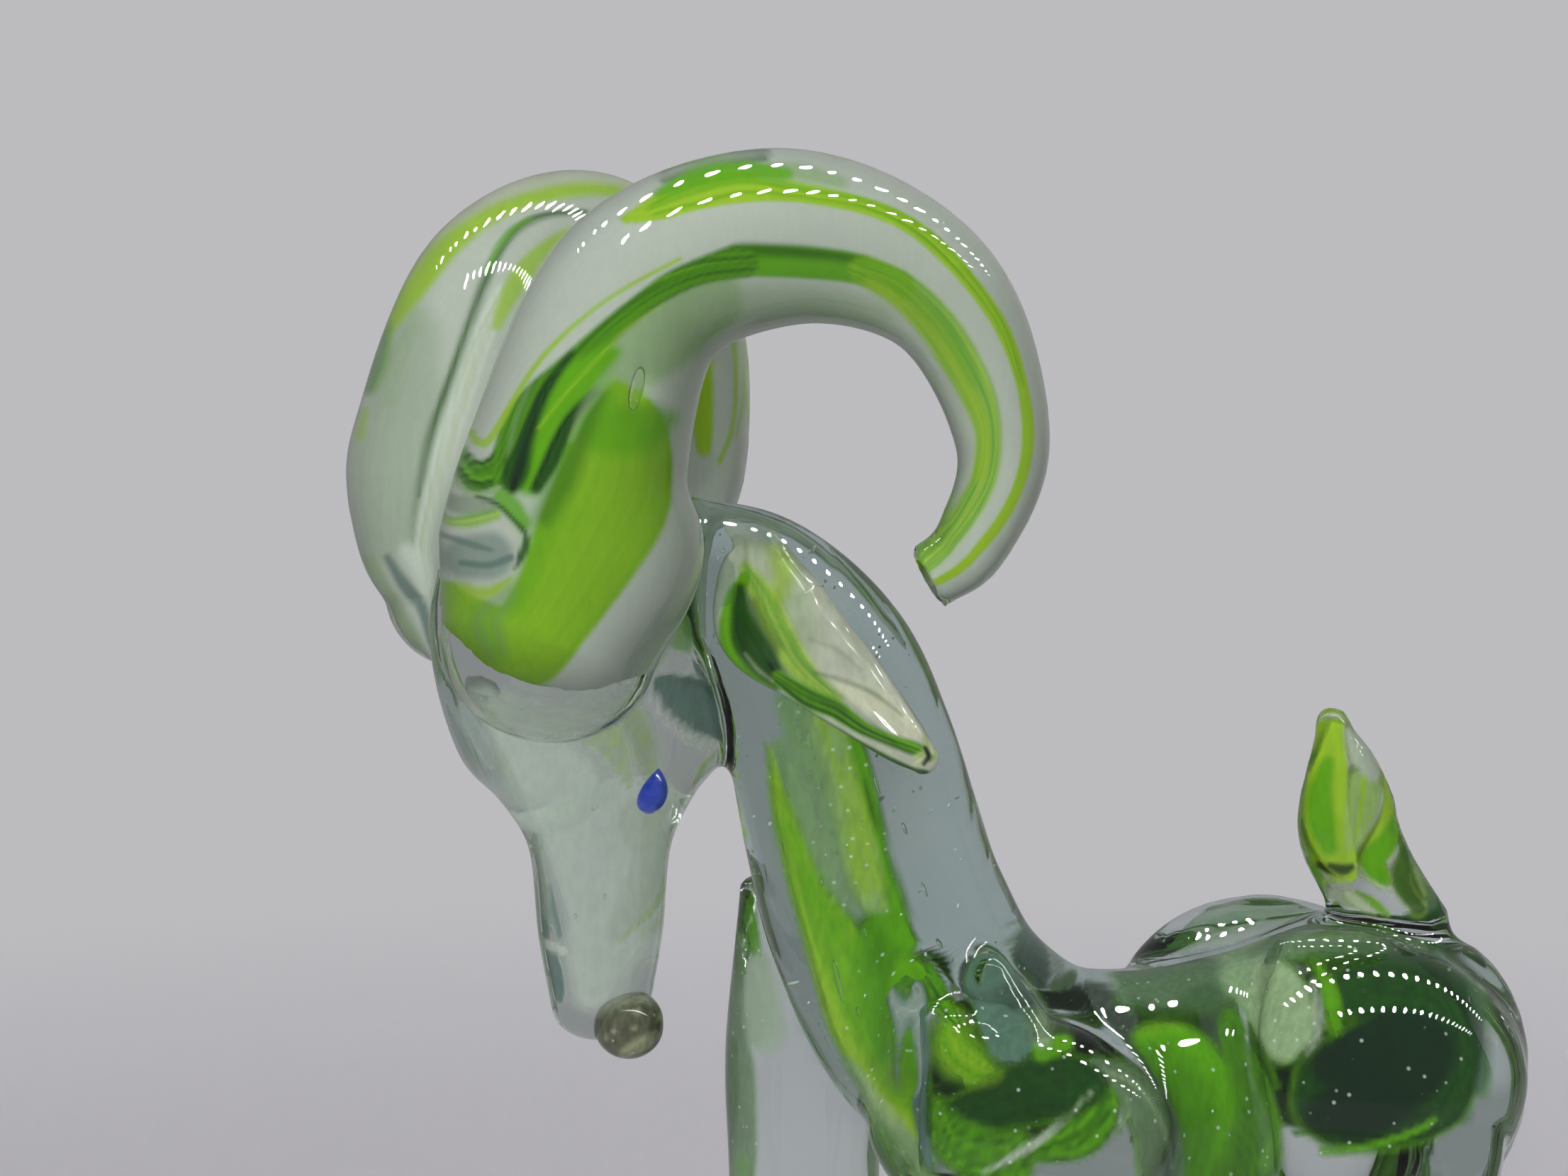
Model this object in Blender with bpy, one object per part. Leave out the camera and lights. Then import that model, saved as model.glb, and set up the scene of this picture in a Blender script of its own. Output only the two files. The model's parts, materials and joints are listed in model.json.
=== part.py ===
"""Glass ram figurine, about 110 mm tall, as an assembly of hot-fused glass pieces.

Units are metres, +Z is up and the ram stands on z = 0. It faces -X, so its left side is -Y.
Each piece is a gather of glass: a loft along its own centreline. Where two gathers meet, the
later one is cut to the surface of the earlier one, less the fusing gap. A coloured core lies
in a bore of its clear casing, and the bore is open where the core meets the next piece.
"""

import math

import bmesh
import bpy
from mathutils import Vector

MM = 0.001

# Fit
FUSE_GAP = 0.3 * MM
FACETS_BIG = 16
FACETS_SMALL = 12
FACETS_CORE = 10
DOME_RINGS = 2

# Body: rump, barrel and neck in one gather
BARREL_HEIGHT = 43.3 * MM
BARREL_HALF_HEIGHT = 9.2 * MM
BARREL_HALF_WIDTH = 9.6 * MM
HIP_HALF_HEIGHT = 10.6 * MM
HIP_HALF_WIDTH = 10.0 * MM
HIP_X = 30.0 * MM
HIP_RISE = 2.4 * MM
RUMP_X = 35.6 * MM
RUMP_RISE = 1.9 * MM
RUMP_HALF_HEIGHT = 10.1 * MM
RUMP_HALF_WIDTH = 9.4 * MM
RUMP_DOME = 7.3 * MM
CHEST_X = 1.0 * MM
CHEST_RISE = 6.2 * MM
CHEST_HALF_DEPTH = 9.0 * MM
CHEST_HALF_WIDTH = 9.0 * MM
NECK_MIDDLE_X = -4.4 * MM
NECK_MIDDLE_RISE = 19.2 * MM
NECK_HALF_DEPTH = 8.4 * MM
NECK_HALF_WIDTH = 8.0 * MM
NAPE_X = -8.4 * MM
NAPE_RISE = 31.4 * MM
NAPE_HALF_DEPTH = 7.4 * MM
NAPE_HALF_WIDTH = 7.2 * MM
POLL_X = -18.0 * MM
POLL_RISE = 38.2 * MM
POLL_HALF_DEPTH = 5.2 * MM
POLL_HALF_WIDTH = 5.6 * MM
POLL_DOME = 3.0 * MM

# Colour core of the body: a flat ribbon in the neck, a thick mass in the rump
RIBBON_HALF_DEPTH = 2.6 * MM
RIBBON_HALF_WIDTH = 1.5 * MM
RIBBON_SET_FORWARD = 2.4 * MM
BARREL_WALL = 3.6 * MM
RUMP_WALL = 3.2 * MM
CORE_OUTLET = 1.5 * MM

# Head, in its own axes: forward, to the ram's left, and up from the poll
HEAD_YAW = math.radians(31.0)
SKULL_FORWARD = 8.0 * MM
SKULL_HALF_LENGTH = 9.8 * MM
SKULL_HALF_WIDTH = 7.9 * MM
SKULL_TOP_RISE = 8.5 * MM
SKULL_TOP_HALF = 5.0 * MM
SKULL_DOME = 3.0 * MM
JAW_FORWARD = 6.0 * MM
JAW_DROP = 12.2 * MM
JAW_HALF_LENGTH = 10.0 * MM
JAW_HALF_WIDTH = 6.8 * MM
MUZZLE_FORWARD = 5.7 * MM
MUZZLE_TOP_DROP = 19.5 * MM
MUZZLE_TOP_HALF_LENGTH = 5.0 * MM
MUZZLE_TOP_HALF_WIDTH = 4.8 * MM
MUZZLE_END_DROP = 30.7 * MM
MUZZLE_END_HALF_LENGTH = 3.5 * MM
MUZZLE_END_HALF_WIDTH = 3.4 * MM
MUZZLE_DOME = 2.4 * MM
MUZZLE_WALL = 1.7 * MM

# Horns
LEFT_HORN_ROOT_FORWARD = 13.4 * MM
RIGHT_HORN_ROOT_FORWARD = 14.3 * MM
HORN_ROOT_SPACING = 15.6 * MM
LEFT_HORN_ROOT_DROP = 4.0 * MM
RIGHT_HORN_ROOT_DROP = 1.0 * MM
HORN_ROOT_DOME = 6.5 * MM
LEFT_HORN_ROOT_HALF_LENGTH = 7.2 * MM
LEFT_HORN_ROOT_HALF_WIDTH = 7.4 * MM
RIGHT_HORN_ROOT_HALF_LENGTH = 6.4 * MM
RIGHT_HORN_ROOT_HALF_WIDTH = 6.6 * MM
HORN_CURL_RADIUS = 13.7 * MM
HORN_END_CURL_RADIUS = 12.4 * MM
HORN_CURL_RISE = 8.9 * MM
HORN_COLUMN_LEAN = 3.2 * MM
HORN_BASE_HALF_LENGTH = 8.7 * MM
HORN_BASE_HALF_WIDTH = 7.6 * MM
HORN_THROAT_HALF_LENGTH = 7.2 * MM
HORN_THROAT_SET_OUT = 1.0 * MM
HORN_TOP_HALF_DEPTH = 5.7 * MM
HORN_TOP_HALF_WIDTH = 5.4 * MM
HORN_END_HALF_DEPTH = 2.2 * MM
HORN_SPLAY = math.radians(21.0)
HORN_SWEEP = math.radians(226.0)
TIP_SWEEP = math.radians(246.0)
TIP_HALF_DEPTH = 1.5 * MM
TIP_DOME = 2.2 * MM
BREAK_ANGLE = math.radians(-8.0)
HORN_ROOT_WALL = 2.8 * MM
HORN_TOP_WALL = 1.9 * MM
HORN_END_WALL = 0.9 * MM

# Ears
LEFT_EAR_ROOT_BACK = 1.6 * MM
LEFT_EAR_ROOT_SIDE = 7.6 * MM
LEFT_EAR_ROOT_DROP = 1.6 * MM
LEFT_EAR_LENGTH = 16.6 * MM
RIGHT_EAR_ROOT_BACK = 0.4 * MM
RIGHT_EAR_ROOT_SIDE = 6.4 * MM
RIGHT_EAR_ROOT_RISE = 0.4 * MM
RIGHT_EAR_LENGTH = 17.6 * MM
EAR_HALF_WIDTH = 4.9 * MM
EAR_TIP_HALF_WIDTH = 1.5 * MM
EAR_HALF_THICKNESS = 1.9 * MM
EAR_TIP_HALF_THICKNESS = 1.2 * MM
LEFT_EAR_SPLAY = math.radians(46.0)
LEFT_EAR_DROOP = math.radians(39.7)
RIGHT_EAR_SPLAY = math.radians(14.0)
RIGHT_EAR_DROOP = math.radians(52.0)

# Eyes and nose
EYE_FORWARD = 4.8 * MM
EYE_SIDE = 6.0 * MM
EYE_DROP = 14.5 * MM
EYE_HALF_WIDTH = 1.1 * MM
EYE_HALF_HEIGHT = 1.5 * MM
NOSE_FORWARD = 4.9 * MM
NOSE_SIDE = 2.7 * MM
NOSE_DROP = 31.6 * MM
NOSE_RADIUS = 2.4 * MM

# Shoulders and front legs: the left one stands back and the right one forward
SHOULDER_SIDE = 8.6 * MM
SHOULDER_HALF_THICKNESS = 4.4 * MM
SHOULDER_FULLNESS = 0.72
LEFT_SHOULDER_X = 7.9 * MM
LEFT_SHOULDER_HALF_LENGTH = 9.2 * MM
LEFT_SHOULDER_TOP_RISE = 12.4 * MM
LEFT_SHOULDER_TOP_SHIFT = -5.6 * MM
LEFT_SHOULDER_TUCK = 0.4 * MM
RIGHT_SHOULDER_X = -8.5 * MM
RIGHT_SHOULDER_HALF_LENGTH = 5.9 * MM
RIGHT_SHOULDER_TOP_RISE = 15.2 * MM
RIGHT_SHOULDER_TOP_SHIFT = -2.2 * MM
RIGHT_SHOULDER_TUCK = 2.6 * MM
NOTCH_X = 2.3 * MM
NOTCH_DEPTH = 4.2 * MM
NOTCH_HALF_WIDTH = 1.4 * MM
LEFT_FRONT_LEG_X = 5.4 * MM
ELBOW_HALF_LENGTH = 5.4 * MM
FRONT_FOOT_REACH = 1.6 * MM

# Haunches and hind legs
HAUNCH_SIDE = 8.6 * MM
HAUNCH_HALF_THICKNESS = 4.6 * MM
HAUNCH_TUCK = 3.6 * MM
HAUNCH_FULLNESS = 0.9
HAUNCH_X = 31.0 * MM
HAUNCH_HALF_LENGTH = 8.4 * MM
HAUNCH_TOP_RISE = 13.3 * MM
HAUNCH_TOP_SHIFT = -2.8 * MM
STIFLE_HALF_LENGTH = 5.6 * MM
HOCK_SET_BACK = 2.4 * MM
HIND_FOOT_REACH = 1.4 * MM
RIGHT_HIND_SHIFT = -3.8 * MM

# All legs
ELBOW_HEIGHT = 31.0 * MM
KNEE_HEIGHT = 19.5 * MM
KNEE_HALF_WIDTH = 3.6 * MM
FETLOCK_HEIGHT = 8.5 * MM
FETLOCK_HALF_WIDTH = 2.9 * MM
FOOT_SPREAD = 1.4 * MM
FOOT_HALF_LENGTH = 4.1 * MM
FOOT_HALF_WIDTH = 3.7 * MM
FOOT_ROLL_HEIGHT = 2.6 * MM
LEG_WALL = 1.7 * MM

# Tail
TAIL_X = 33.4 * MM
TAIL_ROOT_RISE = 11.6 * MM
TAIL_ROOT_HALF_LENGTH = 4.0 * MM
TAIL_STALK_RISE = 16.6 * MM
TAIL_STALK_HALF_LENGTH = 2.8 * MM
TAIL_LEAF_RISE = 21.8 * MM
TAIL_LEAF_HALF_LENGTH = 3.3 * MM
TAIL_TIP_RISE = 26.0 * MM
TAIL_TIP_HALF_LENGTH = 1.5 * MM
TAIL_TIP_DOME = 2.4 * MM
TAIL_LEAN = 4.3 * MM
TAIL_HALF_THICKNESS = 2.3 * MM
TAIL_WALL = 1.0 * MM

UP = Vector((0.0, 0.0, 1.0))
FORWARD = Vector((-1.0, 0.0, 0.0))
LEFT = Vector((0.0, -1.0, 0.0))
POLL = Vector((POLL_X, 0.0, BARREL_HEIGHT + POLL_RISE))
HEAD_FORWARD = Vector((-math.cos(HEAD_YAW), -math.sin(HEAD_YAW), 0.0))
HEAD_LEFT = Vector((math.sin(HEAD_YAW), -math.cos(HEAD_YAW), 0.0))


class Gather:
    """A tapered run of glass: stations of (centre, half depth, half width) and how it ends.

    Half widths lie along the side direction, and half depths square to it and to the run.
    A start or end dome is the length of the rounding there, and 0 leaves a flat face.
    Rings stand square to the run, or to one fixed direction where ahead is given.
    """

    def __init__(self, name, stations, side, domes, facets, steps=3, slant=0.0, ahead=None):
        self.name = name
        self.stations = stations
        self.side = side
        self.domes = domes
        self.facets = facets
        self.steps = steps
        self.slant = slant
        self.ahead = ahead

    def thinned(self, walls, domes, first=0):
        """The core of this gather: its run from the first station, less a wall at each one."""
        kept = zip(self.stations[first:], walls)
        stations = [(centre, depth - wall, width - wall) for (centre, depth, width), wall in kept]
        name = f"{self.name}_core"
        end = (self.slant, self.ahead)
        return Gather(name, stations, self.side, domes, FACETS_CORE, self.steps, *end)


def between(a, b, share):
    return a + (b - a) * share


def curve_value(before, a, b, after, t):
    """A point on the Catmull-Rom curve from a to b."""
    return 0.5 * (
        2 * a
        + (b - before) * t
        + (2 * before - 5 * a + 4 * b - after) * t * t
        + (3 * a - before - 3 * b + after) * t * t * t
    )


def smooth_run(stations, steps):
    """Stations with steps - 1 more between each two, on a smooth curve through them."""
    lead = tuple(2 * near - far for near, far in zip(stations[0], stations[1]))
    trail = tuple(2 * near - far for near, far in zip(stations[-1], stations[-2]))
    padded = [lead, *stations, trail]
    run = []
    for index in range(len(stations) - 1):
        four = list(zip(*padded[index : index + 4]))
        for step in range(steps):
            run.append(tuple(curve_value(*values, step / steps) for values in four))
    run.append(stations[-1])
    return run


def directions(run, fixed):
    """The unit direction of travel at each station of a run, or the fixed one."""
    if fixed:
        return [fixed] * len(run)
    found = []
    for index in range(len(run)):
        before = run[max(index - 1, 0)][0]
        after = run[min(index + 1, len(run) - 1)][0]
        found.append((after - before).normalized())
    return found


def dome_rings(station, ahead, length):
    """Rings that close a run with a rounded end of this length, widest first."""
    centre, depth, width, direction = station
    rings = []
    for index in range(1, DOME_RINGS + 1):
        angle = 0.5 * math.pi * index / (DOME_RINGS + 1)
        shrink = math.cos(angle)
        place = centre + ahead * length * math.sin(angle)
        rings.append((place, depth * shrink, width * shrink, direction))
    return rings


def rings_of(gather, grow):
    """All rings of a gather as (centre, half depth, half width, direction), and its two poles."""
    run = [
        (centre, depth + grow, width + grow)
        for centre, depth, width in smooth_run(gather.stations, gather.steps)
    ]
    ahead_at = directions(run, gather.ahead)
    rings = [(*station, direction) for station, direction in zip(run, ahead_at)]
    poles = [None, None]
    for end, sign in ((0, -1.0), (-1, 1.0)):
        centre, depth, width, direction = rings[end]
        ahead = sign * direction
        if gather.domes[end]:
            length = gather.domes[end] + grow
            extra = dome_rings(rings[end], ahead, length)
            rings = rings + extra if end else extra[::-1] + rings
            poles[end] = centre + ahead * length
        elif grow:
            rings[end] = (centre + ahead * grow, depth, width, direction)
    return rings, poles


def gather_mesh(gather, grow=0.0):
    """The gather's closed surface, or with grow a cutter that stands off it all round."""
    rings, poles = rings_of(gather, grow)
    mesh = bmesh.new()
    loops = []
    for index, (centre, depth, width, direction) in enumerate(rings):
        side = (gather.side - direction * gather.side.dot(direction)).normalized()
        inward = direction.cross(side)
        slant = gather.slant if index == len(rings) - 1 else 0.0
        loop = []
        for facet in range(gather.facets):
            angle = 2 * math.pi * facet / gather.facets
            along = math.cos(angle) * depth
            place = centre + inward * along + side * math.sin(angle) * width
            loop.append(mesh.verts.new(place + direction * slant * along))
        loops.append(loop)
    for lower, upper in zip(loops, loops[1:]):
        for facet in range(gather.facets):
            following = (facet + 1) % gather.facets
            mesh.faces.new((lower[facet], lower[following], upper[following], upper[facet]))
    for pole, loop in zip(poles, (loops[0], loops[-1])):
        if pole is None:
            mesh.faces.new(loop)
            continue
        point = mesh.verts.new(pole)
        for facet in range(gather.facets):
            mesh.faces.new((loop[facet], loop[(facet + 1) % gather.facets], point))
    bmesh.ops.recalc_face_normals(mesh, faces=mesh.faces)
    data = bpy.data.meshes.new(gather.name)
    mesh.to_mesh(data)
    mesh.free()
    return data


def glass(name, colour, roughness=0.05, transmission=1.0):
    """A Principled material of one glass colour."""
    material = bpy.data.materials.new(name)
    material.use_nodes = True
    shader = material.node_tree.nodes["Principled BSDF"]
    shader.inputs["Base Color"].default_value = (*colour, 1.0)
    shader.inputs["Roughness"].default_value = roughness
    shader.inputs["Metallic"].default_value = 0.0
    shader.inputs["IOR"].default_value = 1.5
    shader.inputs["Transmission Weight"].default_value = transmission
    material.diffuse_color = (*colour, 1.0)
    return material


def object_of(gather, material, root, grow=0.0):
    data = gather_mesh(gather, grow)
    name = f"{gather.name}_cutter" if grow else gather.name
    data.name = name
    data.shade_smooth()
    data.set_sharp_from_angle(angle=math.radians(35.0))
    obj = bpy.data.objects.new(name, data)
    obj.parent = root
    bpy.context.scene.collection.objects.link(obj)
    if material:
        data.materials.append(material)
    return obj


def cutter_of(gather, root):
    """The hidden, grown copy of a gather that carves its neighbours, made once."""
    found = bpy.data.objects.get(f"{gather.name}_cutter")
    if found:
        return found
    cutter = object_of(gather, None, root, FUSE_GAP)
    cutter.hide_render = True
    cutter.display_type = "WIRE"
    return cutter


def piece(gather, material, root, carved_by=()):
    """A visible piece of glass, cut back from each gather in carved_by.

    The exact solver turns a thin piece inside out when it cuts into an earlier cut, as on
    the tail, so a piece with several cuts takes the manifold solver.
    """
    obj = object_of(gather, material, root)
    for other in carved_by:
        cut = obj.modifiers.new(f"clear_of_{other.name}", "BOOLEAN")
        cut.operation = "DIFFERENCE"
        cut.solver = "EXACT" if len(carved_by) == 1 else "MANIFOLD"
        cut.object = cutter_of(other, root)
    return obj


def body_gather():
    def at(x, rise):
        return Vector((x, 0.0, BARREL_HEIGHT + rise))

    poll = (POLL, POLL_HALF_DEPTH, POLL_HALF_WIDTH)
    nape = (at(NAPE_X, NAPE_RISE), NAPE_HALF_DEPTH, NAPE_HALF_WIDTH)
    middle = (at(NECK_MIDDLE_X, NECK_MIDDLE_RISE), NECK_HALF_DEPTH, NECK_HALF_WIDTH)
    chest = (at(CHEST_X, CHEST_RISE), CHEST_HALF_DEPTH, CHEST_HALF_WIDTH)
    hip = (at(HIP_X, HIP_RISE), HIP_HALF_HEIGHT, HIP_HALF_WIDTH)
    rump = (at(RUMP_X, RUMP_RISE), RUMP_HALF_HEIGHT, RUMP_HALF_WIDTH)

    def mixed(upper, lower, x_share, rise_share, size_share):
        """A station on the bend between two others, off their straight line."""
        x = between(upper[0].x, lower[0].x, x_share)
        rise = between(upper[0].z, lower[0].z, rise_share) - BARREL_HEIGHT
        sizes = (between(a, b, size_share) for a, b in zip(upper[1:], lower[1:]))
        return (at(x, rise), *sizes)

    barrel = (at(between(CHEST_X, HIP_X, 0.49), 0.0), BARREL_HALF_HEIGHT, BARREL_HALF_WIDTH)
    stations = [
        poll,
        mixed(poll, nape, 0.56, 0.31, 0.5),
        nape,
        mixed(nape, middle, 0.58, 0.47, 0.6),
        middle,
        mixed(middle, chest, 0.33, 0.46, 0.5),
        chest,
        mixed(chest, barrel, 0.46, 0.85, 0.9),
        barrel,
        mixed(barrel, hip, 0.53, 0.45, 0.45),
        hip,
        rump,
    ]
    return Gather("body", stations, LEFT, (POLL_DOME, RUMP_DOME), FACETS_BIG, steps=2)


def body_core_gather(body):
    """A ribbon down the neck that swells to the mass of colour in the barrel and rump."""
    poll, *neck = body.stations[:6]
    chest, *trunk = body.stations[6:]
    up_the_neck = (poll[0] - neck[0][0]).normalized()
    outlet = poll[0] + up_the_neck * (POLL_DOME + CORE_OUTLET)
    stations = [(outlet, RIBBON_HALF_WIDTH, RIBBON_HALF_WIDTH)]
    for centre, _, _ in neck:
        set_forward = centre + FORWARD * RIBBON_SET_FORWARD
        stations.append((set_forward, RIBBON_HALF_DEPTH, RIBBON_HALF_WIDTH))
    swell = between(RIBBON_HALF_DEPTH, chest[1] - BARREL_WALL, 0.5)
    stations.append((chest[0], swell, swell))
    for centre, depth, width in trunk:
        wall = BARREL_WALL if centre.x < between(CHEST_X, HIP_X, 0.6) else RUMP_WALL
        stations.append((centre, depth - wall, width - wall))
    domes = (0.0, RUMP_DOME - RUMP_WALL / 2)
    return Gather("body_core", stations, LEFT, domes, FACETS_CORE, steps=2)


def in_head(forward, left, up):
    """A point given in the head's own axes, from the poll."""
    return POLL + HEAD_FORWARD * forward + HEAD_LEFT * left + UP * up


def head_gather():
    skull_low = between(SKULL_TOP_RISE, -JAW_DROP, 0.65)
    crown = (in_head(SKULL_FORWARD, 0, SKULL_TOP_RISE), SKULL_TOP_HALF, SKULL_TOP_HALF)
    brow = (
        in_head(SKULL_FORWARD, 0, between(SKULL_TOP_RISE, skull_low, 0.45)),
        between(SKULL_TOP_HALF, SKULL_HALF_LENGTH, 0.75),
        between(SKULL_TOP_HALF, SKULL_HALF_WIDTH, 0.85),
    )
    skull = (in_head(SKULL_FORWARD, 0, skull_low), SKULL_HALF_LENGTH, SKULL_HALF_WIDTH)
    jaw = (in_head(JAW_FORWARD, 0, -JAW_DROP), JAW_HALF_LENGTH, JAW_HALF_WIDTH)
    cheek = (
        in_head(between(JAW_FORWARD, MUZZLE_FORWARD, 0.6), 0, between(-JAW_DROP, -MUZZLE_TOP_DROP, 0.5)),
        between(JAW_HALF_LENGTH, MUZZLE_TOP_HALF_LENGTH, 0.6),
        between(JAW_HALF_WIDTH, MUZZLE_TOP_HALF_WIDTH, 0.5),
    )
    bridge = (
        in_head(MUZZLE_FORWARD, 0, -MUZZLE_TOP_DROP),
        MUZZLE_TOP_HALF_LENGTH,
        MUZZLE_TOP_HALF_WIDTH,
    )
    muzzle = (
        in_head(MUZZLE_FORWARD, 0, between(-MUZZLE_TOP_DROP, -MUZZLE_END_DROP, 0.55)),
        between(MUZZLE_TOP_HALF_LENGTH, MUZZLE_END_HALF_LENGTH, 0.4),
        between(MUZZLE_TOP_HALF_WIDTH, MUZZLE_END_HALF_WIDTH, 0.4),
    )
    end = (
        in_head(MUZZLE_FORWARD, 0, -MUZZLE_END_DROP),
        MUZZLE_END_HALF_LENGTH,
        MUZZLE_END_HALF_WIDTH,
    )
    stations = [crown, brow, skull, jaw, cheek, bridge, muzzle, end]
    domes = (SKULL_DOME, MUZZLE_DOME)
    return Gather("head", stations, HEAD_LEFT, domes, FACETS_BIG, ahead=-UP)


def head_core_gather(head):
    """The milky veil, from the neck's socket down the muzzle."""
    stations = [(in_head(MUZZLE_WALL, 0, 0), MUZZLE_WALL, MUZZLE_WALL)]
    for (centre, depth, width), share in zip(head.stations[3:7], (0.45, 0.53, 0.6, 0.6)):
        stations.append((centre, depth * share, (width - MUZZLE_WALL) * share))
    return Gather("head_core", stations, HEAD_LEFT, (MUZZLE_WALL, MUZZLE_WALL), FACETS_CORE)


def on_curl(centre, back, angle, radius=HORN_CURL_RADIUS):
    """A point on the horn's circle: 0 is its front, and it turns over the top to the back."""
    return centre + (UP * math.sin(angle) - back * math.cos(angle)) * radius


def horn_gather(side):
    """Side is 1 for the ram's left horn, whose end is broken off, and -1 for its right one."""
    whole = side < 0
    turn = HEAD_YAW - side * HORN_SPLAY
    back = Vector((math.cos(turn), math.sin(turn), 0.0))
    root_drop = RIGHT_HORN_ROOT_DROP if whole else LEFT_HORN_ROOT_DROP
    forward = RIGHT_HORN_ROOT_FORWARD if whole else LEFT_HORN_ROOT_FORWARD
    root_length = RIGHT_HORN_ROOT_HALF_LENGTH if whole else LEFT_HORN_ROOT_HALF_LENGTH
    root_width = RIGHT_HORN_ROOT_HALF_WIDTH if whole else LEFT_HORN_ROOT_HALF_WIDTH
    root = in_head(forward, side * HORN_ROOT_SPACING / 2, -root_drop)
    centre = root + back * (HORN_COLUMN_LEAN + HORN_CURL_RADIUS) + UP * (HORN_CURL_RISE + root_drop)
    base = on_curl(centre, back, 0.0)
    name = "right_horn" if whole else "left_horn"
    sweep = TIP_SWEEP if whole else HORN_SWEEP
    end_half = TIP_HALF_DEPTH if whole else HORN_END_HALF_DEPTH
    end_dome = TIP_DOME if whole else 0.0
    slant = 0.0 if whole else math.tan(BREAK_ANGLE)
    stations = [
        (root, root_length, root_width),
        (between(root, base, 0.5), HORN_BASE_HALF_LENGTH, HORN_BASE_HALF_WIDTH),
    ]
    top = math.pi / 2
    for share, thick, set_out in ((0.0, 1.0, 1.0), (0.5, 0.35, 0.9), (1.0, 0.0, 0.0)):
        depth = between(HORN_TOP_HALF_DEPTH, HORN_THROAT_HALF_LENGTH, thick)
        width = between(HORN_TOP_HALF_WIDTH, HORN_BASE_HALF_WIDTH, thick)
        radius = HORN_CURL_RADIUS + HORN_THROAT_SET_OUT * set_out
        stations.append((on_curl(centre, back, top * share, radius), depth, width))
    for share, thin, tight in ((0.33, 0.38, 0.0), (0.66, 0.72, 0.0), (0.88, 0.9, 0.3), (1.0, 1.0, 1.0)):
        depth = between(HORN_TOP_HALF_DEPTH, end_half, thin)
        width = between(HORN_TOP_HALF_WIDTH, end_half, thin)
        radius = between(HORN_CURL_RADIUS, HORN_END_CURL_RADIUS, tight)
        stations.append((on_curl(centre, back, between(top, sweep, share), radius), depth, width))
    domes = (HORN_ROOT_DOME, end_dome)
    return Gather(name, stations, back.cross(UP), domes, FACETS_BIG, slant=slant)


def horn_core_gather(horn):
    """The striped cane. It ends flush with the break, or inside the rounded tip."""
    walls = [HORN_ROOT_WALL] * 3 + [HORN_TOP_WALL] * 3
    walls += [between(HORN_TOP_WALL, HORN_END_WALL, share) for share in (0.6, 0.8, 1.0)]
    end_dome = horn.domes[1] - HORN_END_WALL if horn.domes[1] else 0.0
    return horn.thinned(walls, (HORN_ROOT_DOME - HORN_ROOT_WALL, end_dome))


def ear_gather(side):
    left = side > 0
    splay = LEFT_EAR_SPLAY if left else RIGHT_EAR_SPLAY
    droop = LEFT_EAR_DROOP if left else RIGHT_EAR_DROOP
    flat = -HEAD_FORWARD * math.cos(splay) + HEAD_LEFT * side * math.sin(splay)
    ahead = flat * math.cos(droop) - UP * math.sin(droop)
    length = LEFT_EAR_LENGTH if left else RIGHT_EAR_LENGTH
    if left:
        root = in_head(-LEFT_EAR_ROOT_BACK, LEFT_EAR_ROOT_SIDE, -LEFT_EAR_ROOT_DROP)
    else:
        root = in_head(-RIGHT_EAR_ROOT_BACK, -RIGHT_EAR_ROOT_SIDE, RIGHT_EAR_ROOT_RISE)
    stations = [
        (
            root + ahead * length * share,
            between(EAR_TIP_HALF_WIDTH, EAR_HALF_WIDTH, fullness),
            between(EAR_TIP_HALF_THICKNESS, EAR_HALF_THICKNESS, fullness),
        )
        for share, fullness in ((0.0, 0.85), (0.2, 1.0), (0.5, 0.62), (0.75, 0.3), (1.0, 0.0))
    ]
    name = "left_ear" if left else "right_ear"
    domes = (EAR_HALF_THICKNESS, EAR_TIP_HALF_WIDTH)
    return Gather(name, stations, flat.cross(UP) * -side, domes, FACETS_SMALL)


def drop_gather(name, centre, half_height, half_width):
    """A bead or drop of glass: two domes back to back on a short waist."""
    waist = half_height * 0.1
    stations = [
        (centre + UP * waist / 2, half_width, half_width),
        (centre - UP * waist / 2, half_width, half_width),
    ]
    dome = half_height - waist / 2
    return Gather(name, stations, HEAD_LEFT, (dome, dome), FACETS_SMALL, steps=1)


def leg_gather(name, side, lobe, joints, foot_x):
    """A leg drawn out of the lobe of glass that is pressed on the flank.

    The lobe is its x, half length, top rise, top shift, half thickness, side, tuck and
    fullness, and joints are (x, height, half length, half thickness) down the leg.
    """
    x, half_length, rise, shift, thick, out, tuck, fullness = lobe

    def at(place_x, height, outward):
        return Vector((place_x, -side * outward, height))

    top_height = BARREL_HEIGHT + rise - thick / 4
    middle_height = BARREL_HEIGHT + rise * 0.52
    stations = [
        (at(x + shift, top_height, out - tuck), half_length * fullness * 0.6, thick * 0.45),
        (at(x + shift * 0.5, middle_height, out - tuck / 2), half_length * fullness, thick * 0.85),
        (at(x, BARREL_HEIGHT + thick / 4, out), half_length, thick),
    ]
    for joint_x, height, length, thickness in joints:
        lowered = 1.0 - height / BARREL_HEIGHT
        stations.append((at(joint_x, height, out + FOOT_SPREAD * lowered), length, thickness))
    for height in (FOOT_ROLL_HEIGHT, 0.0):
        foot = at(foot_x, height, out + FOOT_SPREAD)
        stations.append((foot, FOOT_HALF_LENGTH, FOOT_HALF_WIDTH))
    return Gather(name, stations, LEFT, (thick / 4, 0.0), FACETS_SMALL, steps=2, ahead=-UP)


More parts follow.
